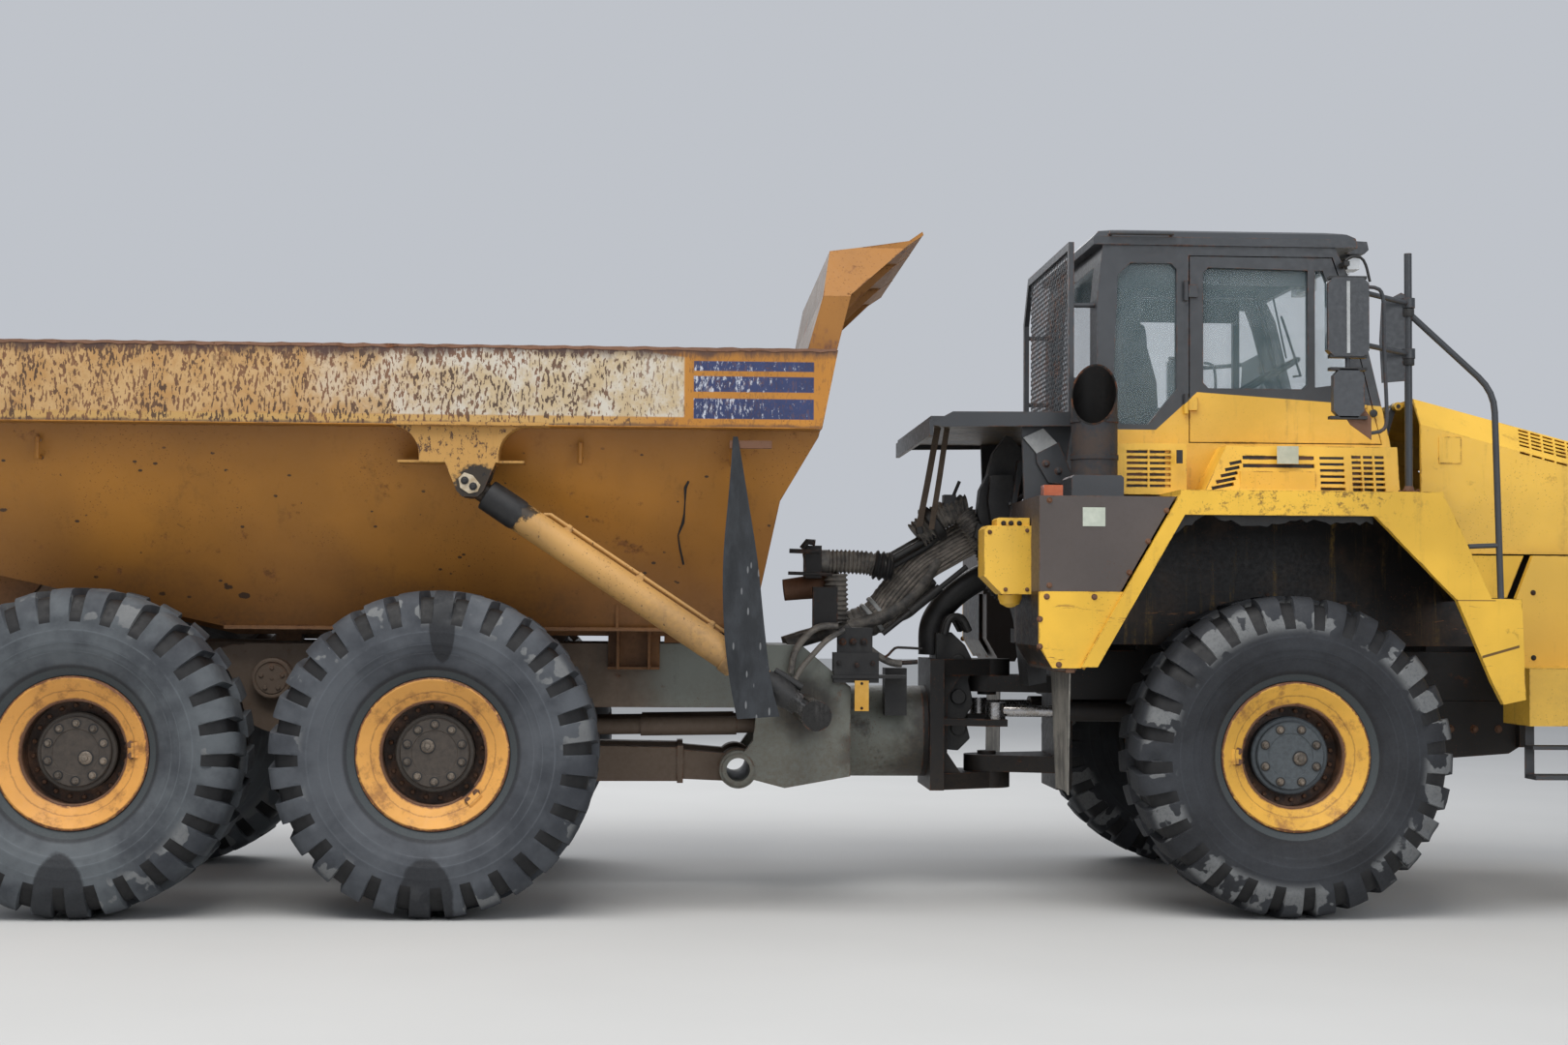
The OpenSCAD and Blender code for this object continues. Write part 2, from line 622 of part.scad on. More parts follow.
module dump_body() {
    color(ORANGE) {
        difference() {
            union() {
                intersection() {
                    across(body_outline(0), -wall_top_half, wall_top_half);
                    along(body_section(0), tail_x, rail_front_x + 100);
                }
                both_sides()
                    across([[rail_back_x + 300, wall_top_z], [rail_back_x + 500, wall_top_z], [mid_x + 1995, wall_top_z],
                        [rail_front_x, rail_top], [rail_back_x, rail_top]], wall_top_half, body_half);
            }
            intersection() {
                across(body_outline(body_t), -wall_top_half, wall_top_half);
                along(inner_section(body_t), tail_x - 300, rail_front_x + 300);
            }
        }
        // runners under the floor, and the pads by which they rest on the frame
        both_sides() {
            across([[pivot_x + 420, floor_at(pivot_x + 420) - 45], [body_back_x, rear_rail_top + 42], [mid_x + 1500, rear_rail_top + 42],
                [mid_x + 1500, floor_z + bite], [body_back_x, floor_z + bite], [pivot_x + 420, floor_at(pivot_x + 420) + bite]],
                runner_y - 40, runner_y + 40);
            for (x = runner_pads)
                block([x - 70, runner_y - 50, rear_rail_top + 5], [x + 70, runner_y + 50, rear_rail_top + 45]);
        }
        both_sides() {
            // lip along the floor's edge
            block([body_back_x, floor_half - 30, floor_z - 14], [front_wall[0][0], floor_half + 26, floor_z + 6]);
            // guide that hangs beside the frame rail
            guide();
            // lifting eyes under the rail
            for (x = lifting_eyes) lifting_eye(x);
            // hoist bracket under the rail, with the ear for the upper pin
            across(concat([for (a = [90 : -15 : 0]) [bracket_x - 355 + bracket_r * cos(a), wall_top_z - bracket_r * (1 - sin(a))]],
                [[bracket_x - 355 + bracket_r, wall_top_z - 190], [bracket_x + 355 - bracket_r, wall_top_z - 190]],
                [for (a = [180 : -15 : 90]) [bracket_x + 355 + bracket_r * cos(a), wall_top_z - bracket_r * (1 - sin(a))]]),
                wall_top_half - 60, hoist_y + 55 + clevis_t);
            // plate under it, wider than the bracket
            block([bracket_x - 320, wall_top_half - 60, wall_top_z - 190], [bracket_x + 335, hoist_y + 60, wall_top_z - 178]);
            for (y = [hoist_y - 55 - seat - clevis_t, hoist_y + 55 + seat])
                across([[hoist_top_x - 130, wall_top_z - 190], [hoist_top_x - ear_drop, hoist_top_z - 40], [hoist_top_x - 40, hoist_top_z - ear_drop],
                    [hoist_top_x + 40, hoist_top_z - ear_drop], [hoist_top_x + ear_drop, hoist_top_z - 40], [hoist_top_x + 130, wall_top_z - 190]],
                    y, y + clevis_t);
            cross_bar(hoist_pin_r, hoist_top_x, hoist_top_z, hoist_y - 60, hoist_y + 60);
            // hinge brackets at the tipping pivot
            difference() {
                across([[pivot_x - 90, pivot_z - 60], [pivot_x + 90, pivot_z - 60], [pivot_x + 260, floor_at(pivot_x + 260) + 8], [pivot_x - 200, floor_at(pivot_x - 200) + 8]],
                    frame_half + 70 + seat * 2, frame_half + 130);
                cross_bar(hoist_pin_r + 20 - 5, pivot_x, pivot_z, frame_half + 60, frame_half + 140);
            }
            cross_bar(hoist_pin_r + 20, pivot_x, pivot_z, frame_half + 2, frame_half + 130);
        }
    }
}

// Spill guard over the cab: a bent sheet on two posts, closed at the sides by plates that lean in
canopy_half = 1420;
canopy_top_half = 1200;
canopy_t = 16;
post_w = 155;
// Line of the sheet from the rail up and forward to its lip
canopy_line = [[mid_x + 1920, rail_top + seat], [mid_x + 2002, 3251], [mid_x + 2049, 3521], [mid_x + 2477, 3585], [mid_x + 2550, 3636]];
// Front edge of the side plates, from the lip back to the post's foot
canopy_edge = [[mid_x + 2556, 3618], [mid_x + 2470, 3560], [mid_x + 2150, 3262], [mid_x + 1920 + post_w, rail_top + seat]];
canopy_inner = [for (i = [0 : len(canopy_line) - 1]) canopy_line[i] - canopy_t * corner_out(canopy_line, i)];

// Outline across the machine, set in by t
function canopy_front(t) = [[-canopy_half + t, 2800], [canopy_half - t, 2800], [canopy_half - t, 3251 - t / 2],
    [canopy_top_half - t, 3545], [canopy_top_half - t, 3700], [-canopy_top_half + t, 3700], [-canopy_top_half + t, 3545],
    [-canopy_half + t, 3251 - t / 2]];

module canopy() {
    color(YELLOW) {
        difference() {
            intersection() {
                across(concat(canopy_line, canopy_edge), -canopy_half, canopy_half);
                along(canopy_front(0), mid_x + 1800, mid_x + 2700);
            }
            intersection() {
                across(concat(canopy_inner, [[mid_x + 2700, 3660], [mid_x + 2700, 2800], [canopy_inner[0][0], 2800]]), -canopy_half, canopy_half);
                along(canopy_front(canopy_t), mid_x + 1700, mid_x + 2800);
            }
        }
        // posts: the front face that closes each box
        both_sides() {
            across([[mid_x + 1920 + post_w - 16, rail_top + seat], [mid_x + 1920 + post_w, rail_top + seat], [mid_x + 2150, 3262], [mid_x + 2134, 3270]],
                canopy_half - 130, canopy_half - 6);
            across([[canopy_line[0][0] + 6, rail_top + seat], [mid_x + 1920 + post_w - 4, rail_top + seat], [mid_x + 2144, 3262], [mid_x + 2010, 3262]],
                canopy_half - 146, canopy_half - 130);
        }
        // gussets under the sheet
        for (y = [-480, 480])
            across(concat(canopy_line, canopy_edge), y - 7, y + 7);
    }
}

module body_flaps() {
    color(TYRE) both_sides()
        across([[mid_x + 1530, wall_top_z - seat], [mid_x + 1532, 2250], [mid_x + 1492, 1500], [mid_x + 1541, 1020],
            [mid_x + 1787, 1036], [mid_x + 1703, 1500], [mid_x + 1623, 2150], [mid_x + 1556, wall_top_z - seat]],
            hoist_y + hoist_r + 18, hoist_y + hoist_r + 30);
}

// Hoist cylinder, in its own frame: upper pin at the origin, along +X to the lower pin
hoist_run = [hoist_low_x - hoist_top_x, hoist_low_z - hoist_top_z];
hoist_len = norm(hoist_run);
hoist_turn = atan2(hoist_run[1], hoist_run[0]);
hoist_barrel_len = hoist_len - 500;
stage_end = hoist_len - 110;
stage_r = 62;
rod_r = 46;

module hoist_place(side) {
    mirror([0, side < 0 ? 1 : 0, 0]) translate([hoist_top_x, hoist_y, hoist_top_z]) rotate([0, -hoist_turn, 0]) children();
}

module hoist_barrel() {
    color(YELLOW) difference() {
        union() {
            rotate([90, 0, 0]) cylinder(r = 75, h = 110, center = true);
            translate([60, 0, 0]) rotate([0, 90, 0]) cylinder(r = 54, h = 60);
            translate([100, 0, 0]) rotate([0, 90, 0]) cylinder(r = hoist_r, h = hoist_barrel_len - 100);
        }
        translate([140, 0, 0]) rotate([0, 90, 0]) cylinder(r = stage_r + fit, h = hoist_barrel_len);
        rotate([90, 0, 0]) cylinder(r = hoist_pin_r + fit, h = 200, center = true);
    }
}

module hoist_stage() {
    color(CHROME) difference() {
        translate([160, 0, 0]) rotate([0, 90, 0]) cylinder(r = stage_r, h = stage_end - 160);
        translate([220, 0, 0]) rotate([0, 90, 0]) cylinder(r = rod_r + fit, h = hoist_len);
    }
}

module hoist_rod() {
    color(CHROME) {
        translate([240, 0, 0]) rotate([0, 90, 0]) cylinder(r = rod_r, h = hoist_len - 240);
        translate([hoist_len, 0, 0]) rotate([90, 0, 0]) cylinder(r = 80, h = 110, center = true);
    }
}

// Hinge of the hood: place in X and Z, plane of its arm, and radius of its pin
hood_pin = [front_x + 868, hood_top - 26];
hood_arm_y = 480;
hood_pin_r = 11;

// Cab, with X from the front axle in the outline
cab_back = front_x - 925;
// Outline of the cab's side, from the rear sill round to the front sill
cab_top = roof_z - roof_t;
cab_side = [[cab_back, deck_z], [front_x + 760, deck_z], [front_x + 722, door_z + 10], [front_x + 515, cab_top - 210],
    [front_x + 415, cab_top], [cab_back + 30, cab_top], [cab_back, cab_top - 300]];
cab_inner = [[cab_back + cab_wall, deck_z + 60], [front_x + 700, deck_z + 60], [front_x + 665, door_z + 10],
    [front_x + 460, cab_top - 225], [front_x + 370, roof_z], [cab_back + cab_wall + 30, roof_z], [cab_back + cab_wall, cab_top - 300]];
door_hinge_x = front_x - 430;
door_back = front_x - 405;
// Outline of the door, with its front edge along the front pillar
door_outline = [[door_back, door_z], [front_x + 672, door_z], [front_x + 458, cab_top - 240], [front_x + 395, cab_top - 60],
    [door_back, cab_top - 60]];
door_window = [[front_x - 330, door_z + 330], [front_x - 300, door_z + 300], [front_x + 230, door_z + 300],
    [front_x + 260, door_z + 330], [front_x + 260, cab_top - 130], [front_x - 300, cab_top - 120], [front_x - 330, cab_top - 150]];
// Narrow pane of the door in front of the division bar
front_pane = [[front_x + 300, door_z + 310], [front_x + 520, door_z + 340], [front_x + 390, cab_top - 250], [front_x + 345, cab_top - 130],
    [front_x + 300, cab_top - 130]];
quarter_window = [[front_x - 840, door_z + 150], [front_x - 790, door_z + 95], [front_x - 640, door_z + 95], [front_x - 480, door_z + 290],
    [front_x - 480, cab_top - 130], [front_x - 510, cab_top - 100], [front_x - 740, cab_top - 100], [front_x - 810, cab_top - 170]];
rear_window_half = 640;
rear_window_z = [2700, cab_top - 100];
// Slanted pane between the front pillars
windshield = strip([[front_x + 674, 2640], [front_x + 487, cab_top - 210], [front_x + 432, cab_top - 96]], -glass_t);

module cab_shell() {
    color(CHARCOAL) difference() {
        across(cab_side, -cab_half, cab_half);
        across(cab_inner, -cab_half + cab_wall, cab_half - cab_wall);
        both_sides() {
            across([for (p = door_outline) p + [p[0] > front_x ? 6 : -6, p[1] > 3000 ? 6 : -6]], cab_half - cab_wall - 10, cab_half + 10);
            across(quarter_window, cab_half - cab_wall - 10, cab_half + 10);
        }
        block([cab_back - 60, -rear_window_half, rear_window_z[0]], [cab_back + cab_wall + 40, rear_window_half, rear_window_z[1]]);
        block([front_x + 380, -cab_half + 110, 2640], [front_x + 900, cab_half - 110, roof_z - roof_t - 90]);
    }
    // arms with the pins that the hood turns on
    color(CHARCOAL) both_sides() {
        across([[front_x + 735, 2330], [front_x + 735, 2520], [hood_pin[0] - 22, hood_pin[1] + 8], [hood_pin[0] + 2, hood_pin[1] - 24]],
            hood_arm_y, hood_arm_y + 24);
        cross_bar(24, hood_pin[0], hood_pin[1], hood_arm_y, hood_arm_y + 24);
        cross_bar(hood_pin_r, hood_pin[0], hood_pin[1], hood_arm_y + 20, hood_arm_y + 80);
    }
}

// Outlines of the roof from the side and from the front, with their corners eased
roof_side = [[cab_back - 20, cab_top], [cab_back - 26, roof_z - 60], [cab_back + 10, roof_z - 22], [cab_back + 90, roof_z - 4],
    [cab_back + 160, roof_z], [front_x + 380, roof_z], [front_x + 470, roof_z - 12], [front_x + 530, roof_z - 45], [front_x + 540, cab_top]];
roof_half = cab_half + 12;
roof_ends = [[-roof_half, cab_top], [roof_half, cab_top], [roof_half, roof_z - 55], [roof_half - 30, roof_z - 22],
    [roof_half - 110, roof_z], [-roof_half + 110, roof_z], [-roof_half + 30, roof_z - 22], [-roof_half, roof_z - 55]];

module cab_roof() {
    color(CHARCOAL) {
        intersection() {
            across(roof_side, -roof_half, roof_half);
            along(roof_ends, cab_back - 60, front_x + 600);
        }
        // pod over the windshield
        across([[front_x + 530 - bite, cab_top + 6], [front_x + 655, cab_top + 6], [front_x + 680, cab_top + 30], [front_x + 670, roof_z - 24],
            [front_x + 470, roof_z - 14]], -620, 620);
        // grab rail along each side
        both_sides() {
            bar(11, [cab_back + 60, roof_half + 26, roof_z - 40], [cab_back + 420, roof_half + 26, roof_z - 40]);
            for (x = [cab_back + 70, cab_back + 410])
                bar(9, [x, roof_half - 12, roof_z - 40], [x, roof_half + 26, roof_z - 40]);
        }
    }
}

module cab_glass() {
    color(GLASS) {
        both_sides() across(quarter_window, cab_half - 30, cab_half - 30 + glass_t);
        across(strip([[cab_back + 16, rear_window_z[0]], [cab_back + 16, cab_top - 300], [cab_back + 24, rear_window_z[1] - 4]], glass_t),
            -rear_window_half, rear_window_half);
        across(windshield, -cab_half + 110, cab_half - 110);
    }
}

seat_x = front_x - 330;

wheel_hub = [front_x + 250, deck_z + 760];

module cab_interior() {
    color(CHARCOAL) {
        // seat on its pedestal, with a head rest
        across([[seat_x - 190, deck_z + 60], [seat_x + 190, deck_z + 60], [seat_x + 130, deck_z + 420], [seat_x - 150, deck_z + 420]], -190, 190);
        across([[seat_x - 260, deck_z + 420 - bite], [seat_x + 250, deck_z + 420 - bite], [seat_x + 280, deck_z + 470],
            [seat_x + 270, deck_z + 550], [seat_x - 260, deck_z + 545]], -260, 260);
        across([[seat_x - 290, deck_z + 500], [seat_x - 120, deck_z + 500], [seat_x - 130, deck_z + 700], [seat_x - 230, deck_z + 1060],
            [seat_x - 320, deck_z + 1060], [seat_x - 330, deck_z + 900]], -250, 250);
        across([[seat_x - 300, deck_z + 1060 - bite], [seat_x - 240, deck_z + 1060 - bite], [seat_x - 220, deck_z + 1120],
            [seat_x - 240, deck_z + 1260], [seat_x - 330, deck_z + 1260], [seat_x - 340, deck_z + 1120]], -150, 150);
        // dash with the column and the wheel
        across([[front_x + 330, deck_z + 60], [front_x + 620, deck_z + 60], [front_x + 570, deck_z + 480], [front_x + 440, deck_z + 580],
            [front_x + 350, deck_z + 560]], -420, 420);
        bar(28, [front_x + 390, 0, deck_z + 520], [wheel_hub[0], 0, wheel_hub[1]]);
        translate([wheel_hub[0], 0, wheel_hub[1]]) rotate([0, -30, 0]) {
            rotate_extrude() translate([215, 0]) circle(r = 15, $fn = 16);
            cylinder(r = 45, h = 30, center = true);
            for (a = [90, 210, 330]) rotate([0, 0, a]) translate([30, -14, -8]) cube([180, 28, 12]);
        }
    }
}

module door(side) {
    color(CHARCOAL) mirror([0, side < 0 ? 1 : 0, 0]) {
        difference() {
            across(door_outline, cab_half - cab_wall + 2, cab_half);
            across(door_window, cab_half - cab_wall - 10, cab_half + 10);
            across(front_pane, cab_half - cab_wall - 10, cab_half + 10);
        }
        for (z = [2700, cab_top - 310]) {
            translate([door_hinge_x, cab_half + 20, z]) cylinder(r = 14, h = 110);
            block([door_hinge_x, cab_half + seat, z + 20], [door_back + 40, cab_half + 20, z + 90]);
            block([door_back + bite, cab_half - bite, z + 20], [door_back + 40, cab_half + 20, z + 90]);
        }
        // handle with the lock
        block([front_x + 480, cab_half - bite, door_z + 196], [front_x + 590, cab_half + 12, door_z + 246]);
        block([front_x + 490, cab_half - bite, door_z + 206], [front_x + 570, cab_half + 30, door_z + 222]);
    }
}

module door_glass(side) {
    color(GLASS) mirror([0, side < 0 ? 1 : 0, 0]) {
        across(door_window, cab_half - 30, cab_half - 30 + glass_t);
        across(front_pane, cab_half - 30, cab_half - 30 + glass_t);
    }
}

// Fenders: deck plate, bent mudguards and outer skirts round the arch
fender_back = [front_x - 1142, 1310];
// Outer line of the sheet, from the rear foot over the deck to the front foot
fender_line = [fender_back, [front_x - 618, deck_z - skin_t], [front_x + 781, deck_z - skin_t], [front_x + 843, 2101],
    [front_x + 1032, 1680]];
skirt = concat(fender_line, [[front_x + 1195, 1680], [front_x + 1213, 1151], [front_x + 1094, 1125], [front_x + 1035, 1240],
    [front_x + 850, 1670], [front_x + 415, 2110], [front_x - 595, 2110], [front_x - 1055, 1310]]);
arch_in_y = 890;
arch_t = 12;
corner_top = 1704;
// Distance along the machine from the fender's rear edge at a height
function fender_x(z) = fender_back[0] + (z - fender_back[1]) * (front_x - 618 - fender_back[0]) / (deck_z - skin_t - fender_back[1]);

module fenders() {
    color(YELLOW) {
        block([front_x - 618, -fender_half, deck_z - skin_t], [front_x + 781, fender_half, deck_z]);
        both_sides() {
            across(skirt, fender_half - 45, fender_half);
            across(strip(fender_line, -30), arch_in_y, fender_half - 40);
            // wall on the inner side of the arch
            across([[fender_x(1420), 1420], [front_x - 618, deck_z - skin_t], [front_x - 618, deck_z - skin_t + bite], [front_x + 781, deck_z - skin_t + bite],
                [front_x + 1020, 1700], [front_x + 1190, 1690], [front_x + 1190, 1420]], arch_in_y - arch_t, arch_in_y + bite);
            // panel under the hood's side, in front of the arch
            across([[front_x + 980, 1680], [front_x + 1365, 1690], [front_x + 1460, 1925], [front_x + 880, 1925]], arch_in_y - 22, arch_in_y + bite);
            // lower corner panel behind the arch
            difference() {
                across([[tank_x0 + 70, fender_back[1] - 6], [fender_back[0] + 6, fender_back[1] - 6], [fender_x(corner_top) + 6, corner_top],
                    [tank_x0, corner_top], [tank_x0, fender_back[1] + 110]], tank_in_y + 200, fender_half - 20);
                across([[tank_x0 + 76, fender_back[1] - 20], [fender_x(1200), 1200], [fender_x(1800), 1800],
                    [tank_x0 + 14, 1800], [tank_x0 + 14, fender_back[1] + 112]], tank_in_y + 190, fender_half - 40);
            }
        }
    }
}

// Sill boxes between the deck and the door: X from the front axle at the foot
sill_half = 1090;
sill_top = 2510;

// Outer face of the sill box at a height
function sill_face(z) = sill_half + 30 - 50 * (z - deck_z) / (sill_top - deck_z);
slot_deep = 16;
// Openings in the box ahead of the door hinge: columns, rows, X from the front axle, width, height above the deck, rise of a
// row, and height of a slot
slot_fields = [
    [1, 2, -170, 395, 150, 45, 20],
    [1, 6, 255, 135, 28, 34, 15],
    [3, 7, 432, 52, 24, 30, 16]];
// The same for the panel behind it
rear_fields = [[2, 7, -800, 115, 40, 31, 15]];
slot_gap = 12;

module slot_field(f, face) {
    for (column = [0 : f[0] - 1], row = [0 : f[1] - 1]) {
        x = front_x + f[2] + column * (f[3] + slot_gap);
        z = deck_z + f[4] + row * f[5];
        block([x, face - slot_deep, z], [x + f[3], face + 60, z + f[6]]);
    }
}

module sill_boxes() {
    color(YELLOW) both_sides() {
        difference() {
            intersection() {
                along([[cab_half + seat, deck_z], [sill_half + 30, deck_z], [sill_half - 20, sill_top], [cab_half + seat, sill_top]],
                    front_x - 400, front_x + 700);
                across([[front_x - 395, deck_z], [front_x + 690, deck_z], [front_x + 690, sill_top], [front_x - 255, sill_top]], cab_half, sill_half + 40);
            }
            for (f = slot_fields) slot_field(f, sill_half);
            // leaning louvres that shorten upwards, along the slanted rear edge
            for (i = [0 : 4])
                translate([front_x - 345 + i * 26, sill_half - slot_deep, deck_z + 24 + i * 34]) rotate([0, -12, 0]) cube([125 - i * 14, 90, 18]);
        }
        // cover between the long slots and the vents
        across([[front_x - 190, deck_z + 18], [front_x + 225, deck_z + 18], [front_x + 225, deck_z + 128], [front_x - 190, deck_z + 128]],
            sill_half - 10, sill_half + 24);
        difference() {
            block([front_x - 860, cab_half + seat, deck_z], [front_x - 470, sill_half - 40, sill_top + 10]);
            for (f = rear_fields) slot_field(f, sill_half - 40);
        }
    }
}

// Tanks behind the front wheels
tank_x0 = front_x - 1358;
tank_in_y = 550;
tank_out_y = fender_half - 24;

module side_tanks() {
    color(BROWN) both_sides() {
        // upper part, out to the fender, over a narrower tank
        across([[tank_x0, corner_top + seat], [fender_x(corner_top) - 16, corner_top + seat], [fender_x(2205) - 16, 2205], [tank_x0, 2205]],
            tank_in_y + seat, tank_out_y);
        across([[tank_x0 + 100, fender_back[1] - 20], [fender_back[0] - 20, fender_back[1] - 20], [fender_x(corner_top) - 20, corner_top + bite],
            [tank_x0 + 20, corner_top + bite], [tank_x0 + 20, fender_back[1] + 120]], tank_in_y + seat, fender_half - 40 - seat);
    }
}

// Small tank behind the right-hand one, on a bracket, with its cap and drain
can = [tank_x0 - 165, 1640, tank_x0 + 30, 2080];

module filter_tank() {
    color(YELLOW) {
        across(cut_rect(can[0], can[1], tank_x0 - seat, can[3], 34), -1260, -1010);
        translate([can[0] + 70, -1135, can[3] - bite]) cylinder(r = 46, h = 30);
        translate([can[0] + 70, -1135, can[1] - 60]) cylinder(r = 36, h = 60 + bite);
    }
}

tray_back = front_x - 1855;
tray_front = front_x - 1041;

module rear_deck() {
    color(STEEL_GREY) {
        block([tray_back, -900, 2640], [tray_front, 900, 2670]);
        // raised edge of the tray, and the gutters under its ends
        both_sides()
            across([[tray_back - 10, 2625], [tray_back + 60, 2610], [tray_front, 2622], [tray_front, 2700], [tray_back + 120, 2695]], 880, 912);
        block([tray_back - 10, -912, 2560], [tray_back + 12, 912, 2650]);
        both_sides() {
            across([[tank_x0 + 30, 2205 + seat], [tray_front - 80, 2205 + seat], [tray_front - 20, 2640 + bite], [tray_front - 300, 2640 + bite]], 800, 830);
        }
        // box under the exhaust stack
        across(cut_rect(stack_x - 150, 2205 + seat, front_x - 860 - seat, 2330, 14), stack_y - 150, stack_y + 150);
    }
}

stack_x = front_x - 992;
stack_y = -1120;
stack_r = 125;
stack_top = 2960;

module exhaust_stack() {
    color(CHARCOAL) translate([stack_x, stack_y, 0]) {
        difference() {
            union() {
                translate([0, 0, 2330 + seat]) cylinder(r = stack_r, h = stack_top - 2330);
                for (z = [2420, 2620])
                    translate([0, 0, z]) cylinder(r = stack_r + 5, h = 26);
            }
            translate([0, 0, 2400]) cylinder(r = stack_r - 8, h = 900);
            // slanted mouth that faces outwards
            translate([0, 0, stack_top - 183]) rotate([0, 0, -15]) rotate([55, 0, 0]) translate([-600, -600, 0]) cube([1200, 1200, 800]);
        }
    }
}

guard_x = tray_front - 34;
guard_half = 800;
guard_z = [2670 + seat, cab_top + 20];
guard_bar = 44;
// Outline of the guard from behind, with one upper corner cut
function guard_outline(t) = [[-guard_half + t, guard_z[0] + t], [guard_half - t, guard_z[0] + t], [guard_half - t, guard_z[1] - 260 - t * 0.4],
    [guard_half - 180 - t * 0.4, guard_z[1] - t], [-guard_half + t, guard_z[1] - t]];

module window_guard() {
    color(CHARCOAL) {
        difference() {
            along(guard_outline(0), guard_x, guard_x + 30);
            along(guard_outline(guard_bar), guard_x - 10, guard_x + 40);
        }
        for (y = [-guard_half + guard_bar - 14, guard_half - guard_bar + 14], z = [guard_z[0] + 220, cab_top - 330])
            bar(14, [guard_x + 27, y, z], [cab_back - seat, y, z]);
    }
}

rail_y = fender_half - 22;
step_x = [front_x + 1370, front_x + 1650];
step_z = 710;
mirror_post = [front_x + 630, fender_half - 110];
// Line of the rail beside the hood, with its corner rounded by a curve
rail_ends = [[mirror_post[0], mirror_post[1], cab_top - 440], [front_x + 1060, rail_y, 2775], [front_x + 1090, rail_y, 1681]];
rail_bend = [rail_ends[1] + 110 * unit(rail_ends[0] - rail_ends[1]), rail_ends[1] + 110 * unit(rail_ends[2] - rail_ends[1])];
rail_line = concat([rail_ends[0]],
    [for (t = [0 : 0.25 : 1]) (1 - t) * (1 - t) * rail_bend[0] + 2 * t * (1 - t) * rail_ends[1] + t * t * rail_bend[1]], [rail_ends[2]]);

module handrails() {
    color(CHARCOAL) both_sides() {
        bar(20, [mirror_post[0], mirror_post[1], deck_z], [mirror_post[0], mirror_post[1], cab_top - 124]);
        // rail with a bend of a few short runs, and its stay to the fender
        for (i = [0 : len(rail_line) - 2]) {
            bar(17, rail_line[i], rail_line[i + 1]);
            if (i > 0) translate(rail_line[i]) sphere(r = 17.4);
        }
        bar(13, [front_x + 917, rail_y, 1955], [front_x + 1082, rail_y, 1962]);
        // hanging step under the bumper
        for (x = step_x) block([x, 1120, step_z], [x + 50, 1132, 1000 - seat]);
        block([step_x[0], 1120, step_z], [step_x[1] + 50, 1280, step_z + 24]);
        block([step_x[0], 1120, step_z + 160], [step_x[1] + 50, 1240, step_z + 180]);
    }
}

mirror_y = fender_half + 310;
mirror_z = cab_top - 660;
mirror_x = front_x + 170;

module mirrors() {
    color(CHARCOAL) both_sides() {
        // tall head and the convex one under it, each a shell with its corners cut
        across(cut_rect(mirror_x - 100, mirror_z - 65, mirror_x + 115, mirror_z + 340, 30), mirror_y - 50, mirror_y + 6);
        across(cut_rect(mirror_x - 70, mirror_z - 380, mirror_x + 90, mirror_z - 130, 34), mirror_y - 45, mirror_y + 2);
        bar(12, [mirror_x + 10, mirror_y - 24, mirror_z - 140], [mirror_x + 10, mirror_y - 24, mirror_z - 50]);
        for (z = [mirror_z, mirror_z + 270]) {
            bar(14, [mirror_x + 90, mirror_y - 30, z],
                [mirror_post[0], mirror_post[1], z] - 33 * unit([mirror_post[0] - mirror_x - 90, mirror_post[1] - mirror_y + 30, 0]));
            // clamp round the post
            translate([mirror_post[0], mirror_post[1], z - 26]) difference() {
                cylinder(r = 36, h = 52);
                translate([0, 0, -5]) cylinder(r = 20 + seat, h = 62);
            }
        }
    }
}

nose_x = front_x + front_overhang;

bumper_top = 1310;
shell_half = 940;
shell_t = 40;

// U-shaped plan, open towards the cab, with its front corners cut
module wrap(back, front, half, cut, thick, front_thick, z0, z1) {
    translate([0, 0, z0]) linear_extrude(z1 - z0) polygon([
        [back, half], [front - cut, half], [front, half - cut], [front, -half + cut], [front - cut, -half], [back, -half],
        [back, -half + thick], [front - front_thick, -half + thick], [front - front_thick, half - thick], [back, half - thick]]);
}

// Places of the lamps in the nose: distance from the middle, and height
lamp_y = 640;
lamp_z = 1640;
lamp_half = [130, 85];

// Bumper, and the panels between it and the hood
module nose() {
    color(YELLOW) {
        wrap(front_x + 1330, nose_x - 60, 1300, 200, 1300 - shell_half + 20, nose_x - 60 - frame_front - seat, 1000, bumper_top);
        difference() {
            wrap(front_x + 1400, nose_x - 90, shell_half, 45, shell_t, shell_t, bumper_top - 20, 1925);
            both_sides()
                block([nose_x - 116, lamp_y - lamp_half[0], lamp_z - lamp_half[1]], [nose_x, lamp_y + lamp_half[0], lamp_z + lamp_half[1]]);
            // slanted rear edge of the side panels
            across([[front_x + 1300, 1690], [front_x + 1400, 1690], [front_x + 1500, 1940], [front_x + 1300, 1940]], -shell_half - 10, shell_half + 10);
            // slots for air under the grille
            for (i = [0 : 4])
                block([nose_x - 200, -400, 1390 + i * 90], [nose_x, 400, 1430 + i * 90]);
        }
        // towing jaw on the bumper
        both_sides() block([nose_x - 60 - bite, 60, 1060], [nose_x - 5, 90, 1240]);
    }
}

// Lamps: in the nose, on the roof's pod, and the marker on each tank
module lamps() {
    color(AMBER) both_sides() {
        block([nose_x - 116 + seat, lamp_y - lamp_half[0] + seat, lamp_z - lamp_half[1] + seat],
            [nose_x - 84, lamp_y + lamp_half[0] - seat, lamp_z + lamp_half[1] - seat]);
        block([tank_x0 + 30, fender_half - 160, 2205 + seat], [tank_x0 + 130, fender_half - 60, 2262]);
        for (y = [330, 520]) translate([front_x + 600, y, cab_top]) {
            block([-30, -60, -76], [40, 60, -6]);
            block([-8, -8, -8], [8, 8, 6 - seat]);
        }
    }
}

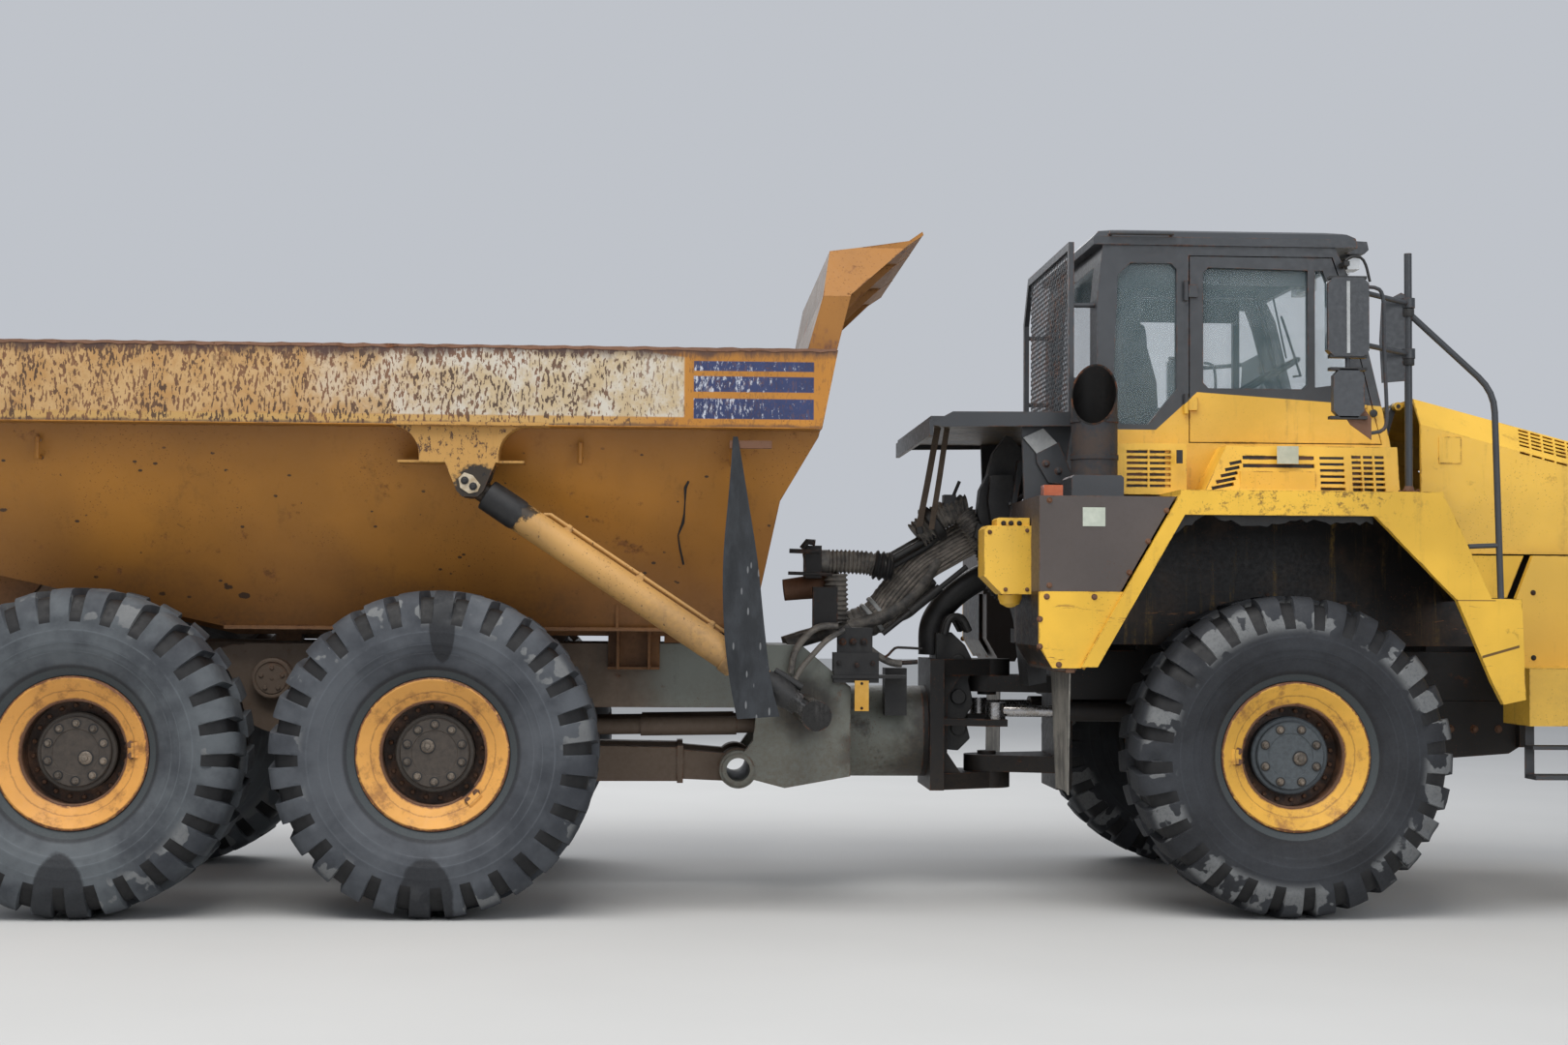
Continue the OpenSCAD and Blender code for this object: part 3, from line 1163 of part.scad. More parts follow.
module front_flaps() {
    color(TYRE) both_sides()
        block([tank_x0 + 158, 950, 640], [tank_x0 + 170, fender_half - 30, fender_back[1] - 20 - seat]);
}

hood_back = front_x + 895;
hood_slope = 0.26;
hood_low = 1935;
hood_front_z = hood_top - (nose_x - 250 - hood_back) * hood_slope;
// Side outline of the hood, from the cab to the nose
hood_line = [[hood_back, hood_low], [nose_x - 20, hood_low], [nose_x, hood_low + 65],
    [nose_x - 40, hood_front_z - 160], [nose_x - 250, hood_front_z], [hood_back, hood_top]];
hood_inner = [[hood_back - 50, 1800], [nose_x - 60, 1800], [nose_x - 40, 2000], [nose_x - 75, hood_front_z - 175],
    [nose_x - 265, hood_front_z - skin_t], [hood_back - 50, hood_top - skin_t + 13]];

module hood_shape(half, outline, t) {
    intersection() {
        across(outline, -half, half);
        // section that follows the slope of the top
        along_slope() along([[-half, -1200], [half, -1200], [half, -hood_bevel], [half - hood_bevel, 25],
            [-half + hood_bevel, 25], [-half, -hood_bevel]], -300, 2200);
    }
}

// Frame that starts at the hood's rear upper edge and runs down along its top
module along_slope() {
    translate([hood_back, 0, hood_top]) rotate([0, atan(hood_slope), 0]) children();
}

// Vents along the bevel: place of the first from the hood's rear edge, pitch and slot, lengths and heights
vent_at = [620, -22];
vent_pitch = [72, 23];
vent_slot = [60, 11];

module hood() {
    color(YELLOW) difference() {
        hood_shape(hood_half, hood_line);
        hood_shape(hood_half - skin_t, hood_inner);
        block([nose_x - 200, -560, 2010], [nose_x + 50, 560, hood_front_z - 170]);
        both_sides() along_slope() for (column = [0 : 7], row = [0 : 6])
            if (row != 5)
                translate([vent_at[0] + column * vent_pitch[0], hood_half - hood_bevel - 25, vent_at[1] - row * vent_pitch[1]])
                    cube([vent_slot[0], hood_bevel + 40, vent_slot[1]]);
    }
    color(YELLOW) both_sides() {
        // knuckles of the hood's hinge
        difference() {
            union() {
                cross_bar(24, hood_pin[0], hood_pin[1], hood_arm_y + 24 + seat, hood_arm_y + 76);
                block([hood_pin[0], hood_arm_y + 24 + seat, hood_pin[1] - 8], [hood_back + 6, hood_arm_y + 76, hood_pin[1] + 16]);
            }
            cross_bar(hood_pin_r + fit, hood_pin[0], hood_pin[1], hood_arm_y, hood_arm_y + 90);
        }
        // filler hatch in the side
        block([hood_back + 100, hood_half - bite, 2440], [hood_back + 225, hood_half + 5, 2585]);
    }
}

module grille() {
    low = 2010 + seat;
    high = hood_front_z - 170 - seat;
    color(CHARCOAL) {
        for (y = [-560 + seat, -10, 540 - seat])
            block([nose_x - 55, y, low], [nose_x - 35, y + 20, high]);
        for (i = [0 : 7])
            block([nose_x - 55, -560 + seat, low + i * (high - low - 16) / 7], [nose_x - 38, 560 - seat, low + i * (high - low - 16) / 7 + 16]);
    }
}

// Hoses across the articulation, swept along points chosen by hand
function along_line(p, i) = unit(i == 0 ? p[1] - p[0] : i == len(p) - 1 ? p[i] - p[i - 1] : unit(p[i] - p[i - 1]) + unit(p[i + 1] - p[i]));
function ring(p, i, r, n) = let (d = along_line(p, i), u = unit(cross(d, [0, 1, 0])), v = cross(d, u))
    [for (k = [0 : n - 1]) p[i] + r * (cos(360 * k / n) * u + sin(360 * k / n) * v)];

module tube(points, r, sides = 8) {
    n = len(points);
    polyhedron(
        points = [for (i = [0 : n - 1]) each ring(points, i, r, sides)],
        faces = concat(
            [[for (k = [0 : sides - 1]) k]],
            [for (i = [0 : n - 2]) for (k = [0 : sides - 1])
                [i * sides + k, (i + 1) * sides + k, (i + 1) * sides + (k + 1) % sides, i * sides + (k + 1) % sides]],
            [[for (k = [sides - 1 : -1 : 0]) (n - 1) * sides + k]]));
}

hose_clamp_x = yoke_x + yoke_t / 2;
// Route of the large hose from the tractor to the clamp over the yoke
hose_front_route = [[frame_back + 30 - seat, 0, 1900], [frame_back - 80, 0, 1900], [hitch_x - 100, 0, 1760], [hitch_x - 250, 0, 1620],
    [hose_clamp_x, 0, 1500], [hose_clamp_x, 0, yoke_top + seat]];
hose_rear_route = [[hose_clamp_x, 240, yoke_top + seat], [hose_clamp_x, 240, 1420], [hose_clamp_x - 110, 240, 1520],
    [cast_front - 60, 240, 1570], [cast_back + 200, 240, 1550], [cast_back + 100, 240, 1480],
    [cast_back + 100, 240, rear_rail_top - 3 + seat]];

module hoses_front() {
    color(TYRE) tube(hose_front_route, 90);
}

module hoses_rear() {
    color(TYRE) tube(hose_rear_route, 45);
}

front_frame();
front_axle();
engine();
cab_shell();
cab_roof();
cab_glass();
cab_interior();
fenders();
sill_boxes();
side_tanks();
filter_tank();
rear_deck();
exhaust_stack();
window_guard();
handrails();
mirrors();
nose();
lamps();
front_flaps();
hood();
grille();
door(-1);  // door_right
door(1);  // door_left
door_glass(-1);  // door_glass_right
door_glass(1);  // door_glass_left
place_wheel(front_x, -1) tyre();  // tyre_front_right
place_wheel(front_x, 1) tyre();  // tyre_front_left
place_wheel(mid_x, -1) tyre();  // tyre_mid_right
place_wheel(mid_x, 1) tyre();  // tyre_mid_left
place_wheel(rear_x, -1) tyre();  // tyre_rear_right
place_wheel(rear_x, 1) tyre();  // tyre_rear_left
place_wheel(front_x, -1) rim(YELLOW);  // rim_front_right
place_wheel(front_x, 1) rim(YELLOW);  // rim_front_left
place_wheel(mid_x, -1) rim(ORANGE);  // rim_mid_right
place_wheel(mid_x, 1) rim(ORANGE);  // rim_mid_left
place_wheel(rear_x, -1) rim(ORANGE);  // rim_rear_right
place_wheel(rear_x, 1) rim(ORANGE);  // rim_rear_left
hitch();
steer_place(-1) steer_barrel();  // steer_barrel_right
steer_place(1) steer_barrel();  // steer_barrel_left
steer_place(-1) steer_rod();  // steer_rod_right
steer_place(1) steer_rod();  // steer_rod_left
rear_frame();
bogie_beams();
rear_axles();
tail_lamps();
dump_body();
canopy();
body_flaps();
hoist_place(-1) hoist_barrel();  // hoist_barrel_right
hoist_place(1) hoist_barrel();  // hoist_barrel_left
hoist_place(-1) hoist_stage();  // hoist_stage_right
hoist_place(1) hoist_stage();  // hoist_stage_left
hoist_place(-1) hoist_rod();  // hoist_rod_right
hoist_place(1) hoist_rod();  // hoist_rod_left
hoses_front();
hoses_rear();
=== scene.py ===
"""Looks of the articulated dump truck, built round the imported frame. Metres, +X forward, +Y left, +Z up."""

import math
import random

import bmesh
import bpy
from mathutils import Matrix, Vector


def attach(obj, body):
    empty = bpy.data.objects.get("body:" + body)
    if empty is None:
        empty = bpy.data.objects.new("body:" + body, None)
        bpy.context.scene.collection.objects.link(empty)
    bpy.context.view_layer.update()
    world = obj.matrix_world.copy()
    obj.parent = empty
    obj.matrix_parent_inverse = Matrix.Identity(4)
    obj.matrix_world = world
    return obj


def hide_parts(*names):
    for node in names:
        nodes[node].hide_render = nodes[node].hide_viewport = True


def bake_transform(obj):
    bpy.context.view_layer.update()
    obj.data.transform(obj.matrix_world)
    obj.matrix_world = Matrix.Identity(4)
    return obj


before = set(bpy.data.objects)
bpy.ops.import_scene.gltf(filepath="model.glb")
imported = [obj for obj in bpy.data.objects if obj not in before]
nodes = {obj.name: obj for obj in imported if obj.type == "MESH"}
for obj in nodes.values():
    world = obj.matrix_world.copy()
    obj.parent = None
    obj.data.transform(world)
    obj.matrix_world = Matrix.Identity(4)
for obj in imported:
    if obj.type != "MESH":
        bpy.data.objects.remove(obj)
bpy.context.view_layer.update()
scene = bpy.context.scene

# Places of the axles along the machine, their height and the middle of the wheels
FRONT, MID, REAR = 2.665, -1.825, -3.655
AXLE_Z, WHEEL_Y = 0.845, 1.2575
SIDES = {"right": -1, "left": 1}
AXLES = {"front": FRONT, "mid": MID, "rear": REAR}
# The photograph's camera: width and focal length in pixels, place, and yaw, pitch and roll in degrees
PHOTO_WIDTH, FOCAL_PIXELS = 1620, 2300
EYE, EYE_TURNS = (-0.611, -13.05, 1.60), (2.9, 2.24, 0.37)
# Top of the dump body's rail, height of the upper hoist pin, and the slanted wall inside the body
RAIL_TOP, HOIST_PIN_Z = 2.955, 2.245
WALL_FOOT_Z, WALL_FOOT_Y, WALL_SLOPE = 1.49, 0.815, 0.5033
LUGS = 28
# Materials by name, filled as they are made
M = {}


def show(name, data, place=(0, 0, 0)):
    """A new object of the scene."""
    shown = bpy.data.objects.new(name, data)
    shown.location = place
    scene.collection.objects.link(shown)
    return shown


def polar(r, turn):
    """A point on a circle across the machine."""
    return Vector((r * math.cos(turn), 0, r * math.sin(turn)))


def smooth_mesh(mesh, name, paints, degrees):
    """Mesh data of a finished bmesh: smooth faces, sharp where two of them meet at more than some degrees."""
    for face in mesh.faces:
        face.smooth = True
    for edge in mesh.edges:
        edge.smooth = len(edge.link_faces) != 2 or edge.calc_face_angle(0) < math.radians(degrees)
    data = bpy.data.meshes.new(name)
    mesh.to_mesh(data)
    mesh.free()
    for paint in paints:
        data.materials.append(M[paint])
    return data


# ---- camera and light
def add_camera():
    """The photograph's viewpoint, nearly level and square to the machine's right-hand side."""
    yaw, pitch, roll = (math.radians(a) for a in EYE_TURNS)
    ahead = Vector((math.sin(yaw) * math.cos(pitch), math.cos(yaw) * math.cos(pitch), math.sin(pitch)))
    level = Vector((math.cos(yaw), -math.sin(yaw), 0))
    above = level.cross(ahead)
    right = math.cos(roll) * level + math.sin(roll) * above
    up = math.cos(roll) * above - math.sin(roll) * level
    data = bpy.data.cameras.new("camera")
    data.sensor_width, data.lens = 36.0, 36.0 * FOCAL_PIXELS / PHOTO_WIDTH
    data.clip_end = 200
    camera = show("camera", data)
    camera.matrix_world = Matrix.Translation(EYE) @ Matrix((right, up, -ahead)).transposed().to_4x4()
    scene.camera = camera


def add_light(name, place, target, size, watts, colour=(1, 1, 1)):
    data = bpy.data.lights.new(name, "AREA")
    data.shape, data.size, data.size_y = "RECTANGLE", size[0], size[1]
    data.energy, data.color = watts, colour
    lamp = show(name, data, place)
    lamp.rotation_euler = (Vector(target) - Vector(place)).to_track_quat("-Z", "Y").to_euler()


# ---- procedural materials
class Value:
    """What a node gives out: + - * work as in arithmetic, | takes the larger one."""

    def __init__(self, shader, socket):
        self.shader, self.socket = shader, socket

    def __add__(self, other):
        return self.shader.math("ADD", self, other)

    def __sub__(self, other):
        return self.shader.math("SUBTRACT", self, other)

    def __mul__(self, other):
        return self.shader.math("MULTIPLY", self, other)

    def __or__(self, other):
        return self.shader.math("MAXIMUM", self, other)

    def __abs__(self):
        return self.shader.math("ABSOLUTE", self)

    def ramp(self, low, high, start=0.0, end=1.0):
        """Smooth step from start to end as the value goes from low to high."""
        inputs = {"Value": self, "From Min": low, "From Max": high, "To Min": start, "To Max": end}
        return self.shader.add("MapRange", inputs, interpolation_type="SMOOTHSTEP")

    def band(self, low, high, soft=0.003):
        """1 while the value lies between low and high."""
        return self.ramp(low - soft, low + soft) * self.ramp(high + soft, high - soft)


class Shader:
    """A node material, painted on in layers. Places are in the shared frame, or in the piece's own for a tyre."""

    def __init__(self, name, **fixed):
        self.name, self.material = name, bpy.data.materials.new(name)
        self.material.use_nodes = True
        self.tree = self.material.node_tree
        self.surface = self.tree.nodes["Principled BSDF"]
        for key, value in fixed.items():
            self.surface.inputs[key.replace("_", " ")].default_value = value
        self.place = self.add("TexCoord", out="Object")
        self.x, self.y, self.z = self.split(self.place)
        self.reach = abs(self.y)
        self.colour = None

    def add(self, kind, inputs=None, out=0, **props):
        node = self.tree.nodes.new("ShaderNode" + kind)
        for key, value in props.items():
            setattr(node, key, value)
        for key, value in (inputs or {}).items():
            self.feed(node.inputs[key], value)
        return Value(self, node.outputs[out])

    def feed(self, socket, value):
        if isinstance(value, Value):
            self.tree.links.new(value.socket, socket)
        elif hasattr(socket.default_value, "__len__") and len(socket.default_value) == 4 and len(value) == 3:
            socket.default_value = (*value, 1)
        else:
            socket.default_value = value

    def split(self, vector):
        node = self.tree.nodes.new("ShaderNodeSeparateXYZ")
        self.feed(node.inputs[0], vector)
        return [Value(self, socket) for socket in node.outputs]

    def facing_axes(self):
        """The surface normal's three parts."""
        return self.split(self.add("TexCoord", out="Normal"))

    def at(self, scale, shift):
        return self.add("Mapping", {"Vector": self.place, "Scale": scale, "Location": shift})

    def noise(self, scale, detail=4, rough=0.6, stretch=(1, 1, 1), shift=0.0):
        spot = self.at(stretch, (shift, shift * 0.7, shift * 1.3))
        return self.add("TexNoise", {"Vector": spot, "Scale": scale, "Detail": detail, "Roughness": rough})

    def cells(self, scale, stretch=(1, 1, 1), shift=0.0):
        return self.add("TexVoronoi", {"Vector": self.at(stretch, (shift, 0, shift)), "Scale": scale})

    def math(self, kind, a, b=0.0):
        return self.add("Math", {0: a, 1: b}, operation=kind)

    def dot(self, a, b):
        return self.add("VectorMath", {0: a, 1: b}, "Value", operation="DOT_PRODUCT")

    def mix(self, a, b, share):
        return self.add("Mix", {0: share, 6: a, 7: b}, 2, data_type="RGBA")

    def paint(self, colour, share):
        """Another layer over the colour so far."""
        self.colour = self.mix(self.colour, colour, share)

    def away(self, x, z):
        """Distance from a line across the machine."""
        return self.math("SQRT", self.math("POWER", self.x - x, 2.0) + self.math("POWER", self.z - z, 2.0))

    def facing(self, x, y, z):
        """1 on the faces that look towards a point."""
        to = self.add("VectorMath", {0: (x, y, z), 1: self.place}, operation="SUBTRACT")
        return self.dot(to, self.add("TexCoord", out="Normal")).ramp(0, 0.01)

    def edges(self):
        """1 along the sharp edges of the shape."""
        soft = self.add("Bevel", {"Radius": 0.012}, samples=4)
        return self.dot(soft, self.add("NewGeometry", out="True Normal")).ramp(0.99, 0.86)

    def finish(self, rough, height=None, depth=0.002, strength=0.5):
        self.feed(self.surface.inputs["Base Color"], self.colour)
        self.feed(self.surface.inputs["Roughness"], rough)
        if height is not None:
            bump = self.add("Bump", {"Height": height, "Strength": strength, "Distance": depth})
            self.feed(self.surface.inputs["Normal"], bump)
        M[self.name] = self.material


MUD = (0.17, 0.115, 0.07)
RUST = (0.17, 0.062, 0.025)
GREASE = (0.008, 0.008, 0.008)
YELLOW = (0.80, 0.475, 0.055)
OCHRE = (0.47, 0.195, 0.022)
CHARCOAL = (0.038, 0.042, 0.048)
GREY_DUST = (0.09, 0.085, 0.08)
HUB_BROWN = (0.075, 0.060, 0.048)
# dark rubber colour, used for the damp ring by the bead and for painted shade on the tyres
SHADE_AND_DAMP = (0.012, 0.013, 0.016)


def weathered(name, base, dust=MUD, rust_share=0.4, dust_share=0.35, low=0.6, high=2.4, gloss=0.42,
              local=None, **fixed):
    """Old paint: uneven colour, dust that thickens downwards, rust specks, runs and worn edges.
    local(shader) may paint more on it before the rust."""
    s = Shader(name, **fixed)
    tone, fine = s.noise(1.3, 3), s.noise(38, 4, 0.7, shift=3)
    s.colour = s.mix([c * 0.84 for c in base], [min(c * 1.1, 1) for c in base], tone.ramp(0.3, 0.7))
    if local:
        local(s)
    runs = s.noise(2.2, 4, 0.65, (6, 6, 0.5), 7).ramp(0.54, 0.74) * fine.ramp(0.3, 0.65)
    s.paint([c * 0.4 + d * 0.3 for c, d in zip(base, dust)], runs * 0.5)
    fall = (s.z + s.noise(2.6, 5, shift=5) * 1.6).ramp(high + 0.8, low + 0.8)
    s.paint(dust, fall * fine.ramp(0.15, 0.75) * (dust_share * 2))
    blots = s.noise(7, 6, 0.72, shift=11).ramp(0.66 - 0.08 * rust_share, 0.71)
    specks = s.cells(55, shift=2).ramp(0.22, 0.14) * s.noise(1.7, 3, shift=9).ramp(0.48, 0.62)
    worn = s.edges() * s.noise(9, 5, 0.7, shift=4).ramp(0.46, 0.62)
    mask = blots * rust_share | specks * rust_share | worn
    s.paint(s.mix(RUST, [c * 0.35 for c in RUST], fine.ramp(0.4, 0.6)), mask)
    rough = fine.ramp(0.2, 0.8, gloss - 0.08, gloss + 0.14) + mask * 0.35
    s.finish(rough, fine * 0.3 - mask, 0.002, 0.4)


def body_marks(s):
    """The dump body: walls painted darker and browner towards the foot as shade, a painted shadow under the rail, a
    cream band and blue panels on the rail, bare steel inside.
    """
    nick = s.noise(3.4, 5, 0.75, (1, 1, 0.55), 21)
    # painted shade: the slanted wall darkens and browns towards its foot, which faces down, away from the light
    low = (s.z + s.noise(1.1, 3, shift=6) * 0.7).ramp(2.65, 1.75)
    s.paint((0.165, 0.066, 0.02), low * 0.78)
    # painted shadow of the rail's overhang on the top of the wall
    under = s.z.ramp(2.25, 2.54)
    s.paint((0.2, 0.085, 0.018), under * s.reach.ramp(1.46, 1.44) * 0.55)
    big = (s.cells(4.2, (0.75, 1, 1.35), shift=8) + s.noise(26, 4, 0.7) * 0.09).ramp(0.155, 0.135)
    small = (s.cells(13, (0.8, 1, 1.2), shift=5) + s.noise(40, 3, 0.7) * 0.1).ramp(0.19, 0.16)
    scars = big * s.noise(1.9, 2, shift=14).ramp(0.5, 0.53) | small * nick.ramp(0.5, 0.55)
    s.paint((0.032, 0.018, 0.012), scars * s.z.ramp(2.48, 2.4) * 0.9)
    rail = s.reach.ramp(1.44, 1.455) * s.z.ramp(2.545, 2.55)
    band = rail * s.z.ramp(2.592, 2.602) * (s.z + s.x.ramp(-1, -0.5, -0.06, 0)).ramp(2.914, 2.902)
    strip = rail * s.z.ramp(2.602, 2.592) * s.x.ramp(-0.5, -1.2)
    s.paint((0.5, 0.33, 0.12), strip * 0.75)
    wave = s.noise(6, 5, 0.7, (1, 1, 0.8), 4)
    tan = s.mix((0.42, 0.235, 0.085), (0.54, 0.36, 0.17), wave.ramp(0.35, 0.65))
    s.paint(tan, band * s.x.ramp(-0.545, -0.555) * 0.85)
    cream = band * (s.x + wave * 1.2).ramp(-2.2, -0.9) * s.x.ramp(-0.545, -0.555)
    s.paint(s.mix((0.5, 0.4, 0.25), (0.58, 0.56, 0.5), wave.ramp(0.4, 0.62)), cream * 0.85)
    lines = s.z.band(2.839, 2.89) | s.z.band(2.73, 2.811) | s.z.band(2.589, 2.695)
    blue = rail * lines * s.x.band(-0.5, 0.126)
    s.paint(s.mix((0.018, 0.028, 0.092), (0.028, 0.042, 0.125), wave.ramp(0.3, 0.7)), blue)
    chips = (s.noise(1, 5, 0.72, (60, 60, 22), 51) + s.x.ramp(0.1, -0.5, 0, 0.075)).ramp(0.6, 0.68)
    s.paint((0.5, 0.52, 0.58), blue * chips)
    heavy = s.x.ramp(-0.7, -1.6, 0, 0.035) + s.z.ramp(2.86, 2.94, 0, 0.07)
    fine, broad = s.noise(1, 2, 0.5, (78, 78, 27), 31), s.noise(1, 3, 0.6, (33, 33, 14), 37)
    strokes = (fine + heavy).ramp(0.585, 0.615) | (broad + heavy).ramp(0.65, 0.675)
    strokes = strokes * s.x.ramp(-0.3, -1, 0.3, 1)
    s.paint(s.mix((0.05, 0.024, 0.016), (0.17, 0.07, 0.03), wave.ramp(0.4, 0.6)), rail * strokes * 0.92)
    drips = (s.z + s.noise(3, 5, 0.7, (2, 2, 0.6), 12) * 0.16).ramp(2.968, 3.03) * 0.9
    foot = (s.z + s.noise(6, 4, 0.7, shift=13) * 0.05).ramp(2.592, 2.575)
    s.paint((0.06, 0.03, 0.026), rail * (drips | foot * 0.7))
    boss = s.x.band(-2.05, -1.25) * s.z.band(2.15, 2.56) * s.reach.ramp(1.34, 1.35)
    s.paint(s.mix((0.5, 0.27, 0.07), (0.1, 0.045, 0.02), s.noise(1, 5, 0.72, (46, 46, 24), 61).ramp(0.56, 0.62)),
            boss)
    tongue = s.away(-1.62, 2.2) + s.noise(8, 5, 0.7, shift=9) * 0.22
    s.paint(GREASE, tongue.ramp(0.27, 0.24) * s.reach.ramp(1.25, 1.26) * 0.96)
    bracket = s.x.band(-0.96, -0.6) * s.z.band(1.05, 1.462, 0.01) * s.reach.ramp(0.8, 0.82)
    s.paint(s.mix((0.2, 0.075, 0.03), (0.45, 0.22, 0.1), wave.ramp(0.35, 0.6)), bracket)
    coping = s.z.ramp(2.958, 2.975) * nick.ramp(0.56, 0.66)
    s.paint((0.13, 0.05, 0.028), coping * 0.8)
    lip = s.z.ramp(1.5, 1.47) * s.reach.ramp(0.8, 0.84)
    s.paint((0.23, 0.13, 0.07), lip * 0.7)
    wall = (s.z - WALL_FOOT_Z) * WALL_SLOPE + WALL_FOOT_Y
    inner = s.facing(-2, 0, 2.6) * (s.reach - wall).ramp(0.012, 0.004) * s.x.ramp(0.4, 0.3)
    steel = s.mix((0.105, 0.085, 0.07), (0.24, 0.19, 0.15), s.noise(5, 6, 0.75, (0.3, 2.2, 1.6), 5).ramp(0.35, 0.68))
    steel = s.mix(steel, (0.17, 0.065, 0.03), nick.ramp(0.52, 0.68))
    steel = s.mix(steel, (0.3, 0.21, 0.13), s.z.ramp(1.95, 1.5) * nick.ramp(0.35, 0.6) * 0.7)
    s.paint(steel, inner)


def cab_marks(s):
    """Yellow lower side of the cab under a line that steps down towards the door."""
    rise = s.math("MINIMUM", s.math("MAXIMUM", s.x * 0.915 + 0.717, 2.61), s.x * -0.0655 + 2.973)
    below = (rise - s.z).ramp(-0.002, 0.002) * s.reach.ramp(0.79, 0.8)
    tone = s.noise(1.6, 3, shift=2).ramp(0.3, 0.7)
    s.paint(s.mix([c * 0.85 for c in YELLOW], YELLOW, tone), below)


def sill_marks(s):
    """Dark floors of the air slots as painted shade in the recesses, mixed with rust-brown dirt at their ends."""
    normal = s.facing_axes()[1]
    # painted shade: the slot floors are darkened as recesses in shade, mixed with rust-brown
    dark = s.mix((0.01, 0.009, 0.008), (0.1, 0.042, 0.016), s.noise(6, 4).ramp(0.46, 0.62))
    back, front = s.x.ramp(2.081, 2.079), s.x.ramp(2.079, 2.081)
    depth = s.reach.band(1.026, 1.04, 0.001) * back | s.reach.band(1.067, 1.08, 0.001) * front
    slots = depth * abs(normal).ramp(0.988, 0.996) * s.z.band(2.25, 2.6)
    s.paint(dark, slots)


def fender_marks(s):
    """Muddy black inside of the arch, brown dirt and scrapes on the ledge, a slash and a seam at its front."""
    inside = s.reach.ramp(1.502, 1.498) * s.z.ramp(2.212, 2.206) * (s.x.ramp(3.8, 3.79) | s.z.ramp(1.66, 1.65))
    mud = s.mix((0.009, 0.008, 0.008), (0.045, 0.028, 0.018), s.noise(3, 5, 0.7, shift=3).ramp(0.45, 0.75))
    s.paint(mud, inside)
    dirt = s.noise(16, 6, 0.8, shift=23).ramp(0.52, 0.62) * s.x.band(2, 3.25, 0.25) * s.z.ramp(2.02, 2.19)
    s.paint((0.1, 0.05, 0.025), dirt * 0.75)
    scrape = s.noise(2.4, 5, 0.8, (1.2, 1, 9), 41).ramp(0.6, 0.66) * s.z.ramp(1.75, 1.55)
    s.paint((0.2, 0.085, 0.03), scrape * 0.8)
    slash = abs(s.x * -0.2734 + s.z * 0.9619 - 0.3251)
    cuts = slash.ramp(0.009, 0.005) * s.x.band(3.645, 3.845) | s.z.band(1.668, 1.673, 0.003) * s.x.band(3.5, 3.72)
    s.paint((0.07, 0.035, 0.018), cuts * s.reach.ramp(1.53, 1.54) * 0.9)


def frame_marks(s):
    """Dusty brown towards the rear, black grease round the articulation."""
    dusty = s.mix((0.13, 0.09, 0.06), (0.19, 0.135, 0.095), s.noise(4, 5, 0.7).ramp(0.35, 0.65))
    s.paint(dusty, (s.x + s.noise(2, 3, shift=6) * 0.5).ramp(-0.35, -0.75))
    blot = s.noise(2.6, 5, 0.7, shift=18)
    greasy = (s.x + blot * 0.7).ramp(0.92, 1.15) | s.x.band(0.36, 1, 0.08) * blot.ramp(0.5, 0.62)
    s.paint((0.02, 0.019, 0.018), greasy * s.x.ramp(2.3, 1.9) * 0.9)
    pin = (s.away(0.155, 1.045) + s.noise(9, 4, shift=2) * 0.12).ramp(0.3, 0.17)
    s.paint((0.012, 0.011, 0.01), pin * 0.92)


def stack_marks(s):
    """Soot inside the exhaust's mouth, brown scale on its pipe."""
    s.paint((0.075, 0.055, 0.045), s.noise(5, 5, 0.7).ramp(0.42, 0.62) * 0.8)
    s.paint((0.004, 0.004, 0.004), s.facing(1.673, -1.12, 2.82) * s.z.ramp(2.45, 2.55))


def deck_marks(s):
    """Olive-brown dirt under the cover, pale dust on top of it."""
    up = s.facing_axes()[2]
    blot = s.noise(5, 5, 0.7, shift=7)
    s.paint(s.mix((0.04, 0.028, 0.018), (0.14, 0.095, 0.045), blot.ramp(0.35, 0.62)), up.ramp(-0.3, -0.6))
    s.paint((0.4, 0.38, 0.39), up.ramp(0.3, 0.6) * blot.ramp(0.3, 0.5) * 0.8)


def hoist_marks(s):
    """Pale dusty ochre barrel with oil smears down at its lower end."""
    oil = s.z.ramp(1.45, 1.1) * s.noise(6, 5, 0.7).ramp(0.42, 0.55)
    s.paint((0.02, 0.014, 0.01), oil * 0.9)
    specks = s.noise(1, 3, 0.6, (52, 52, 36), 23).ramp(0.66, 0.69)
    s.paint((0.09, 0.045, 0.02), specks * 0.85)
    far = s.away(-1.655, HOIST_PIN_Z) + s.noise(8, 5, 0.72, shift=5) * 0.34
    s.paint(GREASE, far.ramp(0.53, 0.5) * 0.95)


def stage_marks(s):
    """The stage's outer end: painted near the barrel, black grease towards the pin, bright inside the barrel."""
    far = s.away(0.155, 1.045) + s.noise(11, 4) * 0.06
    s.paint((0.55, 0.27, 0.07), far.ramp(0.56, 0.54))
    s.paint((0.01, 0.009, 0.008), far.ramp(0.32, 0.3))


